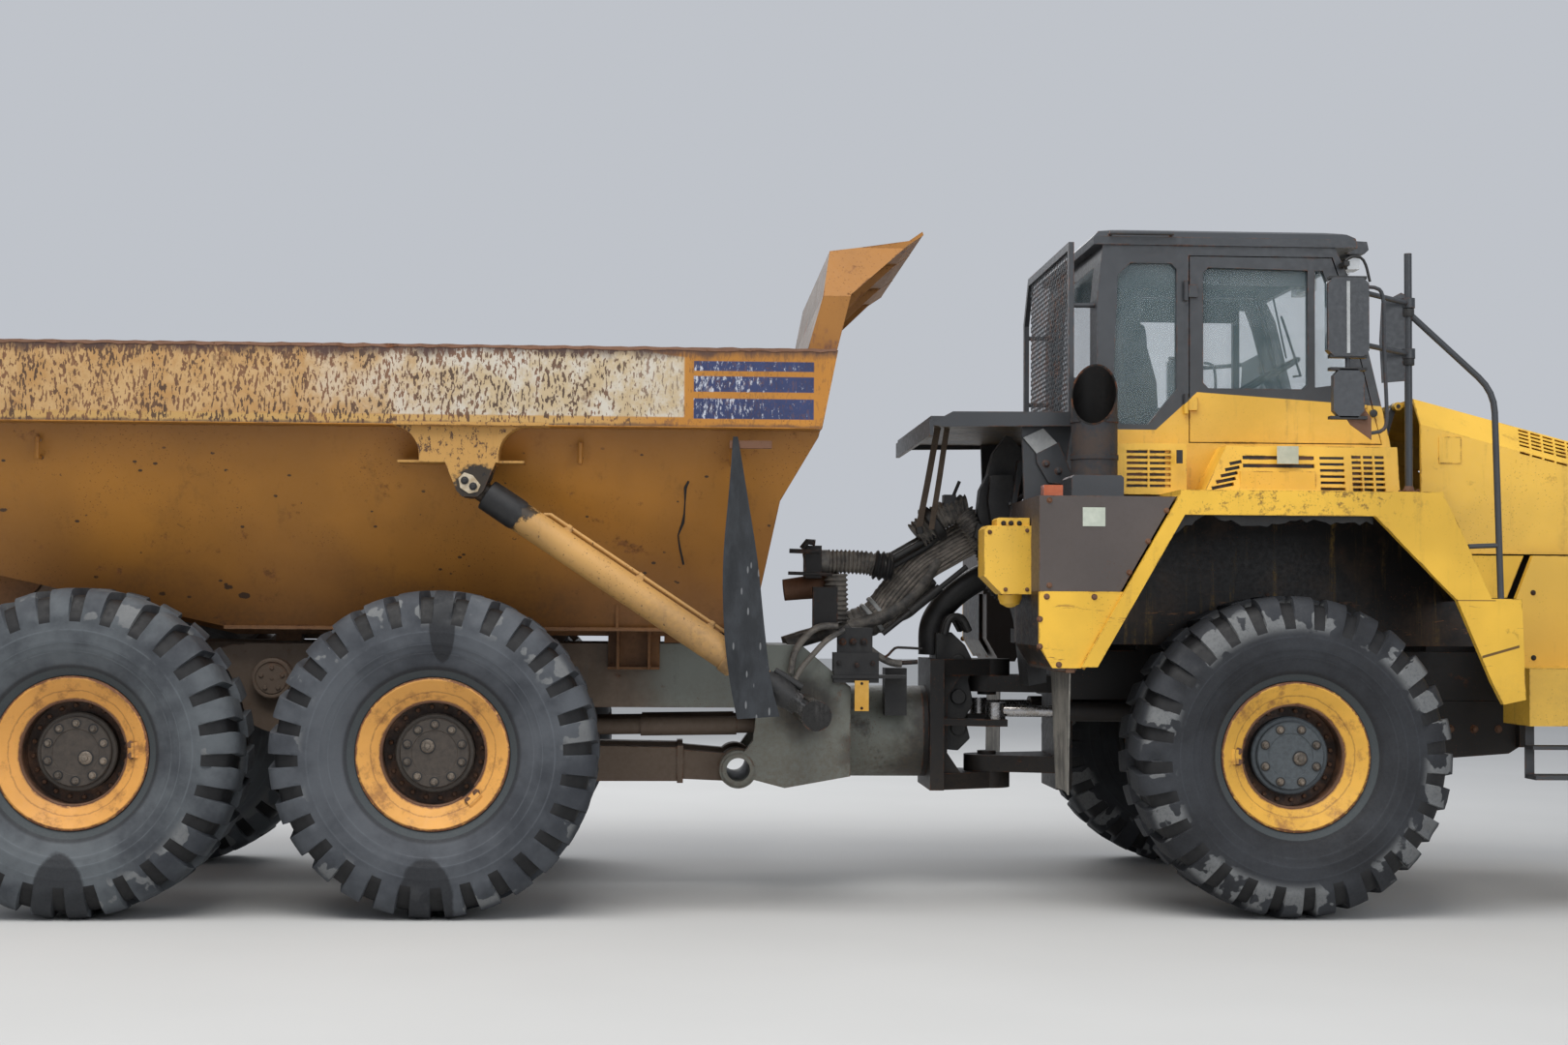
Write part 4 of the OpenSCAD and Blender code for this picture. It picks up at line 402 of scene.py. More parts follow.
def rim_paint(name, x, paint, hub):
    """Painted cone with rusty rings, a rust-brown recess and the hub's own colour."""
    s = Shader(name)
    far, fine, blot = s.away(x, AXLE_Z), s.noise(42, 5, 0.7, shift=x), s.noise(7, 6, 0.72, shift=x)
    painted = s.mix([c * 0.86 for c in paint], paint, s.noise(3, 3, shift=2).ramp(0.35, 0.65))
    painted = s.mix(painted, (0.3, 0.13, 0.035), blot.ramp(0.5, 0.68) * 0.8)
    ragged = far + blot * 0.035
    rings = ragged.ramp(0.302, 0.29) | ragged.ramp(0.397, 0.406) | ragged.band(0.334, 0.34, 0.003) * 0.5
    painted = s.mix(painted, RUST, rings * fine.ramp(0.25, 0.5))
    recess = s.mix((0.032, 0.018, 0.012), (0.13, 0.06, 0.03), blot.ramp(0.4, 0.66))
    s.colour = s.mix(painted, recess, far.ramp(0.274, 0.271))
    cap = s.mix([c * 0.6 for c in hub], hub, fine.ramp(0.3, 0.7))
    s.paint(cap, far.ramp(0.207, 0.205))
    s.finish(fine.ramp(0.2, 0.8, 0.45, 0.75), fine, 0.0015, 0.35)


def tyre_paint(name, seed, shades, scuffed, shade_wedges=()):
    """Slate-grey rubber: moulded rings, pale scuffed shoulders, dry dust and dark wedge-shaped patches of painted
    shade.
    """
    s = Shader(name)
    far, grain = s.away(0, 0), s.noise(70, 5, 0.75, shift=seed)
    wide, blot = s.noise(2.2, 5, 0.62, shift=seed), s.noise(7, 6, 0.7, shift=seed * 2)
    dark, light = shades
    s.colour = s.mix(dark, light, (wide + grain * 0.15).ramp(0.4, 0.72))
    rings = far.band(0.52, 0.524, 0.004) | far.band(0.566, 0.569, 0.003) | far.band(0.628, 0.633, 0.005)
    s.paint([min(1, c * 1.5) for c in light], rings * blot.ramp(0.35, 0.55) * 0.55)
    patch = s.noise(4.5, 3, 0.55, shift=seed) + grain * 0.05
    scuff = far.ramp(0.64, 0.7) * patch.ramp(0.6 - scuffed, 0.62 - scuffed) * far.ramp(0.835, 0.8)
    s.paint((0.155, 0.16, 0.162), scuff * grain.ramp(0.2, 0.6, 0.45, 1))
    s.paint(SHADE_AND_DAMP, far.ramp(0.462, 0.445) * 0.7)
    s.paint((0.055, 0.066, 0.07), far.ramp(0.437, 0.431) * 0.8)
    # painted shade: dark wedge-shaped patches where the tyre lies in shade
    for x, z, half, tall in shade_wedges:
        across, along = (s.x - x) * (1 / half), (s.z - z) * (1 / tall)
        near = (across * across + along * along + blot * 0.5).ramp(1.25, 1.05)
        s.paint(SHADE_AND_DAMP, near * 0.88)
    s.finish(grain.ramp(0.2, 0.8, 0.62, 0.88), grain + blot, 0.002, 0.4)


def plain(name, dark, light, scale=30, low=0.55, high=0.8, depth=0.001, stretch=(1, 1, 1), **fixed):
    """A fine-grained surface between two shades; no relief where the depth is nothing."""
    s = Shader(name, **fixed)
    grain = s.noise(scale, 5, 0.7, stretch)
    share = (s.noise(4, 5, 0.7, shift=3) * 0.6 + grain * 0.4).ramp(0.4, 0.62)
    s.colour = s.mix(dark, light, share)
    s.finish(grain.ramp(0.2, 0.8, low, high), grain if depth else None, depth, 0.4)


def flap_rubber():
    """Blue-black rubber with pale nicks."""
    s = Shader("flap")
    grain = s.noise(14, 5, 0.7, (1, 1, 0.4))
    s.colour = s.mix((0.008, 0.01, 0.013), (0.032, 0.036, 0.042), grain.ramp(0.35, 0.7))
    nicks = s.cells(9, (3.2, 1, 0.8), shift=4).ramp(0.17, 0.12) * s.noise(3, 3, shift=5).ramp(0.47, 0.55)
    s.paint((0.15, 0.155, 0.16), nicks)
    s.finish(grain.ramp(0.3, 0.7, 0.55, 0.8), grain, 0.002, 0.4)


def lens():
    """Amber side markers, clear lamps on the cab and nose."""
    s = Shader("lens", Coat_Weight=0.6)
    grain = s.noise(45, 3, 0.6)
    amber = s.mix((0.36, 0.065, 0.018), (0.5, 0.11, 0.025), grain)
    clear = s.mix((0.42, 0.44, 0.45), (0.62, 0.64, 0.65), grain)
    s.colour = s.mix(amber, clear, s.x.ramp(2, 2.1))
    s.finish(grain.ramp(0.3, 0.7, 0.12, 0.28))


def add_materials():
    """Weathered paints: base, dust, shares of rust and dust, the heights where dust starts and ends, roughness."""
    slate, slate_pale = (0.03, 0.034, 0.042), (0.08, 0.088, 0.1)
    weathered("yellow", YELLOW, rust_share=0.35, dust_share=0.15, low=0.5, high=1.7)
    weathered("sill", YELLOW, rust_share=0.3, dust_share=0.15, low=0.5, high=1.7, local=sill_marks)
    weathered("fender", YELLOW, rust_share=0.35, dust_share=0.15, low=0.5, high=1.7, local=fender_marks,
              Specular_IOR_Level=0.25)
    weathered("ochre", OCHRE, (0.1, 0.05, 0.022), 0.6, 0.3, 1.2, 2, 0.5, body_marks)
    weathered("hoist", (0.52, 0.29, 0.09), MUD, 0.5, 0.3, 1, 2.2, 0.5, hoist_marks)
    weathered("stage", (0.5, 0.5, 0.52), MUD, 0.1, 0, 0.2, 0.4, 0.25, stage_marks)
    weathered("frame", (0.185, 0.2, 0.175), (0.12, 0.09, 0.06), 0.6, 0.35, 0.4, 1.6, 0.5, frame_marks)
    weathered("dark", (0.018, 0.017, 0.017), (0.06, 0.044, 0.032), 0.4, 0.3, 0.2, 1.4, 0.5, Specular_IOR_Level=0.3)
    weathered("brown", (0.08, 0.064, 0.058), (0.1, 0.075, 0.055), 0.4, 0.3, 0.4, 2.4, 0.5)
    weathered("dusty", (0.15, 0.108, 0.078), (0.12, 0.085, 0.06), 0.5, 0.4, 0.2, 1.8, 0.7)
    weathered("rusty", (0.16, 0.075, 0.04), (0.1, 0.055, 0.03), 0.9, 0.4, 0.4, 3, 0.7)
    weathered("exhaust", CHARCOAL, (0.05, 0.04, 0.035), 0.3, 0.2, 1, 3.4, 0.5, stack_marks, Specular_IOR_Level=0.12)
    weathered("charcoal", CHARCOAL, GREY_DUST, 0.15, 0.15, 1, 3.4, 0.4)
    weathered("deck", CHARCOAL, GREY_DUST, 0.2, 0.2, 1, 3.4, 0.4, deck_marks)
    weathered("cab", CHARCOAL, GREY_DUST, 0.15, 0.12, 1, 3.4, 0.4, cab_marks)
    rim_paint("rim_front", FRONT, (0.8, 0.43, 0.06), (0.085, 0.1, 0.11))
    rim_paint("rim_mid", MID, (0.78, 0.38, 0.085), HUB_BROWN)
    rim_paint("rim_rear", REAR, (0.76, 0.36, 0.08), HUB_BROWN)
    tyre_paint("tyre_front", 3, ((0.01, 0.011, 0.014), (0.028, 0.031, 0.037)), 0.06)
    # the tuples at the end of the mid and rear tyres place and size their patches of painted shade
    tyre_paint("tyre_mid", 7, (slate, slate_pale), 0, ((0.05, 0.68, 0.07, 0.22), (-0.02, -0.76, 0.15, 0.25)))
    tyre_paint("tyre_rear", 13, (slate, (0.1, 0.112, 0.122)), 0, ((-0.03, -0.76, 0.15, 0.27),))
    plain("groove", (0.003, 0.003, 0.004), (0.012, 0.012, 0.013))
    plain("rubber", (0.016, 0.017, 0.019), (0.055, 0.054, 0.052))
    plain("strand", (0.1, 0.088, 0.076), (0.32, 0.28, 0.24), 22, 0.45, 0.8, 0.002)
    plain("hose", (0.048, 0.046, 0.045), (0.2, 0.18, 0.155), 22, 0.45, 0.8, 0.002)
    plain("black", (0.01, 0.01, 0.011), (0.03, 0.029, 0.028), 60, 0.4, 0.7)
    flap_rubber()
    plain("flap_pale", (0.1, 0.095, 0.085), (0.25, 0.235, 0.205), 14, 0.7, 0.9, 0.002, (1, 1, 0.12))
    plain("fabric", (0.045, 0.045, 0.05), (0.085, 0.085, 0.09), 160, 0.85, 0.95)
    plain("nut", (0.075, 0.062, 0.05), (0.22, 0.18, 0.14), 90, 0.35, 0.6)
    plain("strap", (0.055, 0.038, 0.026), (0.11, 0.08, 0.055), 60, 0.7, 0.9, 0.001, (1, 1, 6))
    plain("plate", (0.44, 0.48, 0.4), (0.56, 0.59, 0.5), 20, 0.45, 0.65)
    plain("tag", (0.72, 0.38, 0.05), (0.8, 0.46, 0.09), 20, 0.4, 0.6)
    plain("cream", (0.36, 0.27, 0.16), (0.58, 0.5, 0.37), 24, 0.5, 0.75, 0.002)
    plain("pale", (0.3, 0.31, 0.31), (0.42, 0.43, 0.43), 30, 0.3, 0.5)
    plain("rod", (0.34, 0.31, 0.28), (0.55, 0.55, 0.57), 70, 0.16, 0.36, 0, Metallic=1)
    plain("mirror", (0.6, 0.62, 0.63), (0.68, 0.7, 0.72), 8, 0.03, 0.1, 0, Metallic=1)
    lens()
    plain("red", (0.35, 0.015, 0.01), (0.45, 0.025, 0.015), 40, 0.1, 0.25, Transmission_Weight=0.2)
    plain("clear", (0.66, 0.68, 0.68), (0.75, 0.77, 0.77), 30, 0.06, 0.2, Transmission_Weight=0.35)
    plain("trim", (0.022, 0.022, 0.024), (0.048, 0.046, 0.044), 110, 0.6, 0.8)
    plain("glass", (0.26, 0.37, 0.41), (0.33, 0.45, 0.49), 5, 0.02, 0.06, 0, Alpha=0.14, IOR=1.5)


FINISH = {
    "yellow": ["hood", "nose", "filter_tank"],
    "sill": ["sill_boxes"],
    "fender": ["fenders"],
    "ochre": ["dump_body", "canopy"],
    "hoist": ["hoist_barrel_*"],
    "frame": ["rear_frame"],
    "dark": ["front_frame", "front_axle", "engine", "hitch", "steer_barrel_*"],
    "dusty": ["bogie_beams", "rear_axles"],
    "brown": ["side_tanks"],
    "charcoal": ["cab_roof", "window_guard", "handrails", "mirrors", "grille"],
    "deck": ["rear_deck"],
    "exhaust": ["exhaust_stack"],
    "cab": ["cab_shell", "door_*"],
    "trim": ["cab_interior"],
    "lens": ["lamps"],
    "red": ["tail_lamps"],
    "glass": ["cab_glass", "door_glass_*"],
    "rubber": ["front_flaps", "body_flaps", "hoses_front", "hoses_rear"],
    "rod": ["steer_rod_*"],
    "stage": ["hoist_stage_*", "hoist_rod_*"],
    "rim_front": ["rim_front_*"],
    "rim_mid": ["rim_mid_*"],
    "rim_rear": ["rim_rear_*"],
    "black": ["tyre_%s_*" % axle for axle in AXLES],
}


def dress(material, names):
    """Put a material on CAD nodes; a star in a name stands for both sides."""
    for name in names:
        for side in SIDES if "*" in name else ("",):
            slots = nodes[name.replace("*", side)].data.materials
            slots.clear()
            slots.append(material)


# ---- building pieces
def curve(points, step=0.02):
    """Close points on a smooth line through the given ones."""
    points = [Vector(p) for p in points]
    ends = [points[0] * 2 - points[1]] + points + [points[-1] * 2 - points[-2]]
    line = [points[0]]
    for a, b, c, d in zip(ends, ends[1:], ends[2:], ends[3:]):
        n = max(2, int((c - b).length / step))
        for i in range(1, n + 1):
            t = i / n
            line.append(0.5 * (2 * b + (c - a) * t + (2 * a - 5 * b + 4 * c - d) * t ** 2
                               + (3 * b - a - 3 * c + d) * t ** 3))
    return line


def in_plane(y, points):
    """Points of a side view (x, z) at one y."""
    return [Vector((x, y, z)) for x, z in points]


class Piece:
    """One mesh in the shared frame, made of swept, turned and cut forms in the paint in use."""

    def __init__(self, name, body, paint, slot="trim"):
        self.name, self.body, self.slot = name, body, slot
        self.mesh, self.paints, self.current = bmesh.new(), [paint], 0

    def use(self, paint):
        if paint not in self.paints:
            self.paints.append(paint)
        self.current = self.paints.index(paint)
        return self

    def face(self, verts):
        self.mesh.faces.new(verts).material_index = self.current

    def skin(self, rings, closed=True, caps=True):
        rows = [[self.mesh.verts.new(p) for p in ring] for ring in rings]
        count = len(rows[0])
        for low, high in zip(rows, rows[1:]):
            for i in range(count if closed else count - 1):
                j = (i + 1) % count
                self.face((low[i], low[j], high[j], high[i]))
        if caps:
            self.face(rows[0][::-1])
            self.face(rows[-1])

    def slab(self, outline, low, high, axis=1):
        """A plate: its outline across an axis, and where its two faces lie on that axis."""
        rings = []
        for level in (low, high):
            rings.append([Vector((*p[:axis], level, *p[axis:])) for p in outline])
        self.skin(rings)

    def box(self, low, high):
        (a, b, c), (d, e, f) = low, high
        self.slab([(a, b), (d, b), (d, e), (a, e)], c, f, 2)

    def tube(self, path, radius, sides=10):
        """A swept round form; the radius may be a function of the run along the path."""
        path = [Vector(p) for p in path]
        across, run, rings = (path[1] - path[0]).orthogonal().normalized(), 0, []
        for i, p in enumerate(path):
            along = (path[min(i + 1, len(path) - 1)] - path[max(i - 1, 0)]).normalized()
            across = (across - along * across.dot(along)).normalized()
            other = along.cross(across)
            run += (p - path[i - 1]).length if i else 0
            r = radius(run) if callable(radius) else radius
            rings.append([p + r * (math.cos(a) * across + math.sin(a) * other)
                          for a in (2 * math.pi * k / sides for k in range(sides))])
        self.skin(rings)

    def rod(self, y, points, radius, sides=10):
        """A straight or kinked round bar through (x, z) at one y."""
        self.tube(in_plane(y, points), radius, sides)

    def pipe(self, y, points, radius, sides=10):
        """A curved round bar through (x, z) at one y."""
        self.tube(curve(in_plane(y, points)), radius, sides)

    def ribbed(self, y, points, radius, rib=0.005, pitch=0.018, sides=20):
        """A corrugated hose through (x, z) at one y."""
        self.tube(curve(in_plane(y, points), pitch / 8),
                  lambda run: radius + rib * math.sin(2 * math.pi * run / pitch), sides)

    def sheet(self, rows, columns, place):
        """A thin sheet; place(row, share of the width, face) gives the points of both its faces."""
        self.skin([[place(i, k / columns, face) for face in (1, -1) for k in range(columns + 1)[::face]]
                   for i in range(rows)])

    def turned(self, profile, centre, axis=(0, -1, 0), steps=32):
        """A turned form: radius and height along its axis."""
        axis, centre = Vector(axis).normalized(), Vector(centre)
        across = axis.orthogonal().normalized()
        other = axis.cross(across)
        self.skin([[centre + axis * h + r * (math.cos(a) * across + math.sin(a) * other)
                    for a in (2 * math.pi * k / steps for k in range(steps))] for r, h in profile])

    def bolt(self, place, axis=(0, -1, 0), r=0.013):
        self.turned([(r * 1.4, -0.003), (r * 1.4, r * 0.2), (r * 1.3, r * 0.3)], place, axis, 14)
        self.turned([(r, 0), (r, r * 0.8), (r * 0.82, r)], place, axis, 6)

    def bolts(self, y, places, r, sign=-1):
        """Bolts at (x, z) in a face that looks outwards at one y."""
        for x, z in places:
            self.bolt((x, y, z), (0, sign, 0), r)

    def done(self, bevel=0):
        mesh = self.mesh
        bmesh.ops.remove_doubles(mesh, verts=mesh.verts, dist=1e-5)
        bmesh.ops.recalc_face_normals(mesh, faces=mesh.faces)
        piece = show(self.name, smooth_mesh(mesh, self.name, self.paints, 38))
        if bevel:
            soft = piece.modifiers.new("bevel", "BEVEL")
            soft.width, soft.segments, soft.limit_method, soft.angle_limit = bevel, 2, "ANGLE", math.radians(35)
        bpy.context.view_layer.update()
        if self.body:
            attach(piece, self.body)
        return piece


# ---- wheels
PITCH = 2 * math.pi / LUGS
COLUMNS = (-0.5, -0.4, -0.33, -0.315, -0.285, -0.2, -0.07, 0.07, 0.2, 0.285, 0.315, 0.33, 0.4)
# From the bead over the sidewall to the middle of the tread: (radius, half width) in the groove and on the lug
SIDEWALL = [(0.3975, 0.2365), (0.3975, 0.253), (0.412, 0.262), (0.425, 0.272), (0.44, 0.281), (0.448, 0.29),
            (0.47, 0.3), (0.5, 0.315), (0.519, 0.3205), (0.524, 0.3245), (0.54, 0.328), (0.562, 0.3325),
            (0.566, 0.335), (0.58, 0.3355), (0.62, 0.3365), (0.627, 0.3372), (0.634, 0.3372), (0.64, 0.3362),
            (0.655, 0.3358), (0.672, 0.335)]
TREAD = [((0.69, 0.3325), (0.692, 0.3365)), ((0.705, 0.326), (0.712, 0.3355)), ((0.725, 0.314), (0.735, 0.33)),
         ((0.745, 0.302), (0.762, 0.32)), ((0.765, 0.29), (0.79, 0.306)), ((0.782, 0.276), (0.812, 0.289)),
         ((0.795, 0.26), (0.829, 0.268)), ((0.803, 0.24), (0.839, 0.245)), ((0.807, 0.21), (0.8435, 0.215)),
         ((0.807, 0.15), (0.845, 0.15)), ((0.807, 0.08), (0.845, 0.08)), ((0.807, 0.025), (0.845, 0.03)),
         ((0.807, 0.012), (0.807, 0.012))]
HALF = [(p, p) for p in SIDEWALL] + TREAD


def tyre_mesh(name, seed, chipping, turned):
    """A worn block-tread tyre about its own axle, both rows of lugs staggered, each lug chipped its own way."""
    rng = random.Random(seed)
    rows = [(1, groove, lug) for groove, lug in HALF] + [(0, (0.807, 0), (0.807, 0))]
    rows += [(-1, groove, lug) for groove, lug in reversed(HALF)]
    chips = {(side, k): (rng.random() ** 2 * chipping, rng.uniform(-0.3, 0.3), rng.uniform(0.7, 0.8))
             for side in (1, -1) for k in range(LUGS)}
    verts, faces = [], []
    for side, groove, lug in rows:
        for k in range(LUGS):
            for c in COLUMNS:
                r, y = lug if abs(c) < 0.3 else groove
                if abs(c) < 0.3 and side and lug[0] > 0.68 and lug != groove:
                    depth, where, height = chips[side, k]
                    bite = max(0, 1 - abs(c - where) / 0.32) * max(0, 1 - abs(lug[0] - height) / 0.07)
                    y -= depth * bite
                    r -= depth * 0.6 * bite + rng.uniform(0, 0.0022)
                turn = PITCH * (k + c + 0.25 * side) + 0.17 * min(y, 0.24) - math.radians(turned)
                verts.append((r * math.cos(turn), side * y, r * math.sin(turn)))
    around = LUGS * len(COLUMNS)
    for i in range(len(rows) - 1):
        for j in range(around):
            n = (j + 1) % around
            faces.append((i * around + j, i * around + n, (i + 1) * around + n, (i + 1) * around + j))
    plan = bpy.data.meshes.new("plan")
    plan.from_pydata(verts, [], faces)
    for face in plan.polygons:
        row, column = rows[face.index // around], face.index % around % len(COLUMNS)
        face.material_index = int(row[1] != row[2] and (column < 3 or column > 9))
    mesh = bmesh.new()
    mesh.from_mesh(plan)
    bpy.data.meshes.remove(plan)
    bmesh.ops.recalc_face_normals(mesh, faces=mesh.faces)
    return smooth_mesh(mesh, name, (name, "groove"), 42)


def add_wheels():
    for axle, seed, chipping, turn in (("front", 5, 0.03, 40), ("mid", 11, 0.022, 3), ("rear", 23, 0.024, 8)):
        data = tyre_mesh("tyre_" + axle, seed, chipping, turn)
        for side, sign in SIDES.items():
            tyre = show("tread_%s_%s" % (axle, side), data, (AXLES[axle], sign * WHEEL_Y, AXLE_Z))
            tyre.rotation_euler = (0, 0, 0 if sign < 0 else math.pi)
            bpy.context.view_layer.update()
            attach(tyre, "wheel_%s_%s" % (axle, side))
            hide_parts("tyre_%s_%s" % (axle, side))
            add_hub(axle, side, sign)


def add_hub(axle, side, sign):
    """Hub cover with its bolts and plug, nuts on the disc, the rusty lock ring and its driver block."""
    centre, out = Vector((AXLES[axle], sign * WHEEL_Y, AXLE_Z)), Vector((0, sign, 0))
    hub = Piece("hub_%s_%s" % (axle, side), "wheel_%s_%s" % (axle, side), "rim_" + axle, "yellow_paint")

    def spot(r, degrees, h):
        return centre + polar(r, math.radians(degrees)) + out * h

    bolts, plug, block = {"front": (8, (0.05, -0.014), 180), "mid": (10, (-0.036, 0.036), -47),
                          "rear": (10, (0.05, -0.03), 3)}[axle]
    hub.turned([(0.2055, 0.1), (0.2055, 0.124), (0.198, 0.131), (0.182, 0.131), (0.18, 0.15), (0.174, 0.156),
                (0.12, 0.156), (0.117, 0.152), (0.06, 0.152)], centre, out, 56)
    for i in range(bolts):
        at = spot(0.148, 360 * (i + 0.5) / bolts, 0.154)
        # black discs round the bolts: painted shade of the pockets the bolts sit in
        hub.use("black").turned([(0.026, 0), (0.026, 0.0035), (0.022, 0.004)], at, out, 18)
        hub.use("nut").turned([(0.019, 0.002), (0.019, 0.006), (0.017, 0.008)], at, out, 16)
        hub.turned([(0.0145, 0.006), (0.0145, 0.02), (0.0115, 0.023)], at, out, 6)
    at = centre + Vector((plug[0], 0, plug[1])) + out * 0.15
    hub.use("black").turned([(0.041, 0), (0.041, 0.0045), (0.034, 0.005)], at, out, 22)
    hub.use("nut").turned([(0.034, 0), (0.034, 0.01), (0.027, 0.016), (0.016, 0.016), (0.014, 0.026), (0.008, 0.028)],
                          at, out, 20)
    hub.use("rusty")
    for i in range(20):
        hub.turned([(0.0125, -0.002), (0.0125, 0.013), (0.01, 0.016)], spot(0.238, 18 * i + 6, 0.06), out, 6)
    ring = [(0.2625, 0.188), (0.264, 0.207), (0.27, 0.212), (0.278, 0.21), (0.28, 0.203), (0.274, 0.192)]
    hub.skin([[spot(r, block + 9 + 342 * i / 64, h - 0.0075) for r, h in ring] for i in range(65)])
    hub.use("rim_" + axle)
    a, b = math.radians(block - 7), math.radians(block + 7)
    rings = []
    for r, h in ((0.285, 0.2), (0.285, 0.226), (0.325, 0.246), (0.345, 0.236)):
        rings.append([centre + polar(r, t) + out * h for t in (a, (a + b) / 2, b)])
    hub.skin(rings, closed=False, caps=False)
    hub.use("rusty")
    for degrees in (block - 5.5, block + 5.5):
        hub.turned([(0.02, -0.004), (0.02, 0.018), (0.016, 0.022)], spot(0.298, degrees, 0.212), out, 6)
    hub.done()


# ---- articulation: hoses and valves
def add_hoses():
    """Corrugated, braided and thin hoses over the articulation, fixed at both ends."""
    rear = Piece("hoses_over_rear", None, "hose", "black_rubber")
    rear.pipe(-0.3, [(0.16, 1.857), (0.234, 1.876), (0.3, 1.878)], 0.067, 20)
    rear.ribbed(-0.3, [(0.29, 1.877), (0.376, 1.877), (0.504, 1.871), (0.582, 1.857), (0.66, 1.866)], 0.065, 0.006,
                0.023)
    rear.use("black").ribbed(-0.3, [(0.555, 1.862), (0.61, 1.852), (0.66, 1.845)], 0.078, 0.009, 0.034)
    for y, z in ((-0.33, 0), (-0.27, -0.045), (-0.24, 0.02)):
        rear.tube(curve([(0.64, y, 1.885 + z), (0.735, y, 1.94 + z), (0.86, y, 2.015 + z), (0.93, y, 2.075 + z)]),
                  0.02)
    rear.use("hose").tube(curve([(0.06, 0.24, 1.4), (0.24, 0.24, 1.455), (0.62, 0.24, 1.54), (0.81, 0.2, 1.6),
                                 (0.93, 0.1, 1.78)]), 0.04, 16)
    rear.tube(curve([(0.06, -0.24, 1.4), (0.24, -0.24, 1.455), (0.6, -0.24, 1.56), (0.8, -0.2, 1.7),
                     (0.93, -0.22, 1.9)]), 0.04, 16)
    piece = rear.done()
    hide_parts("hoses_rear")
    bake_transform(piece)

    front = Piece("hoses_over_front", None, "hose", "black_rubber")
    front.ribbed(-0.3, [(0.8, 2.03), (0.855, 2.078), (0.931, 2.135), (1.031, 2.181), (1.09, 2.19)], 0.077, 0.006,
                 0.025)
    front.ribbed(-0.34, [(1.06, 2.165), (1.105, 2.1), (1.15, 2.03), (1.205, 1.935)], 0.063, 0.005, 0.023)
    front.use("black").tube(curve([(0.92, 0, 1.34), (0.93, 0, 1.52), (1.02, -0.02, 1.66), (1.18, -0.02, 1.78),
                                   (1.42, 0, 1.88), (1.6, 0, 1.9)]), 0.075, 20)
    front.tube(curve([(0.98, 0.22, 1.62), (1.1, 0.26, 1.74), (1.3, 0.24, 1.84), (1.58, 0.2, 1.9)]), 0.04, 16)
    front.ribbed(-0.42, [(1.16, 1.96), (1.2, 1.84), (1.235, 1.74), (1.3, 1.68)], 0.045)
    front.use("hose")
    braid = in_plane(-0.15, [(0.44, 1.502), (0.583, 1.566), (0.648, 1.652), (0.734, 1.753), (0.849, 1.869),
                             (0.964, 1.942), (1.079, 2.01), (1.166, 2.05), (1.36, 2.05)])
    line = curve(braid, 0.012)
    front.tube(line, lambda run: 0.096 + 0.003 * math.sin(run * 190), 28)
    front.use("strand")
    for k in range(13):
        turn = math.radians(268 + 13.5 * k)
        lift = Vector((0.6 * math.sin(turn), math.cos(turn), -0.8 * math.sin(turn))) * 0.099
        sway = [Vector((0, 0, 0.006 * math.sin(i / 9 + k))) for i in range(len(line))]
        front.tube([p - lift + q for p, q in zip(line[12:-14:2], sway)], 0.0085, 6)
    front.use("pale")
    for at, r in (((0.56, -0.15, 1.552), 0.104), ((0.6, -0.15, 1.59), 0.104)):
        front.turned([(r, -0.013), (r + 0.004, -0.008), (r + 0.004, 0.008), (r, 0.013)], at, (0.75, 0, 0.62), 32)
    front.use("black").rod(-0.36, [(0.6, 1.465), (0.8, 1.626), (1.082, 1.853)], 0.015)
    front.rod(-0.36, [(0.76, 1.594), (0.93, 1.731)], 0.026)
    front.turned([(0.1, -0.03), (0.112, -0.02), (0.112, 0.02), (0.1, 0.03)], (0.89, -0.3, 2.1), (0.8, 0, 0.6), 30)
    front.box((0.95, -0.36, 2.175), (1.02, -0.26, 2.265))
    front.rod(-0.31, [(0.985, 2.2), (1.045, 2.345)], 0.01)
    piece = front.done()
    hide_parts("hoses_front")
    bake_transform(piece)


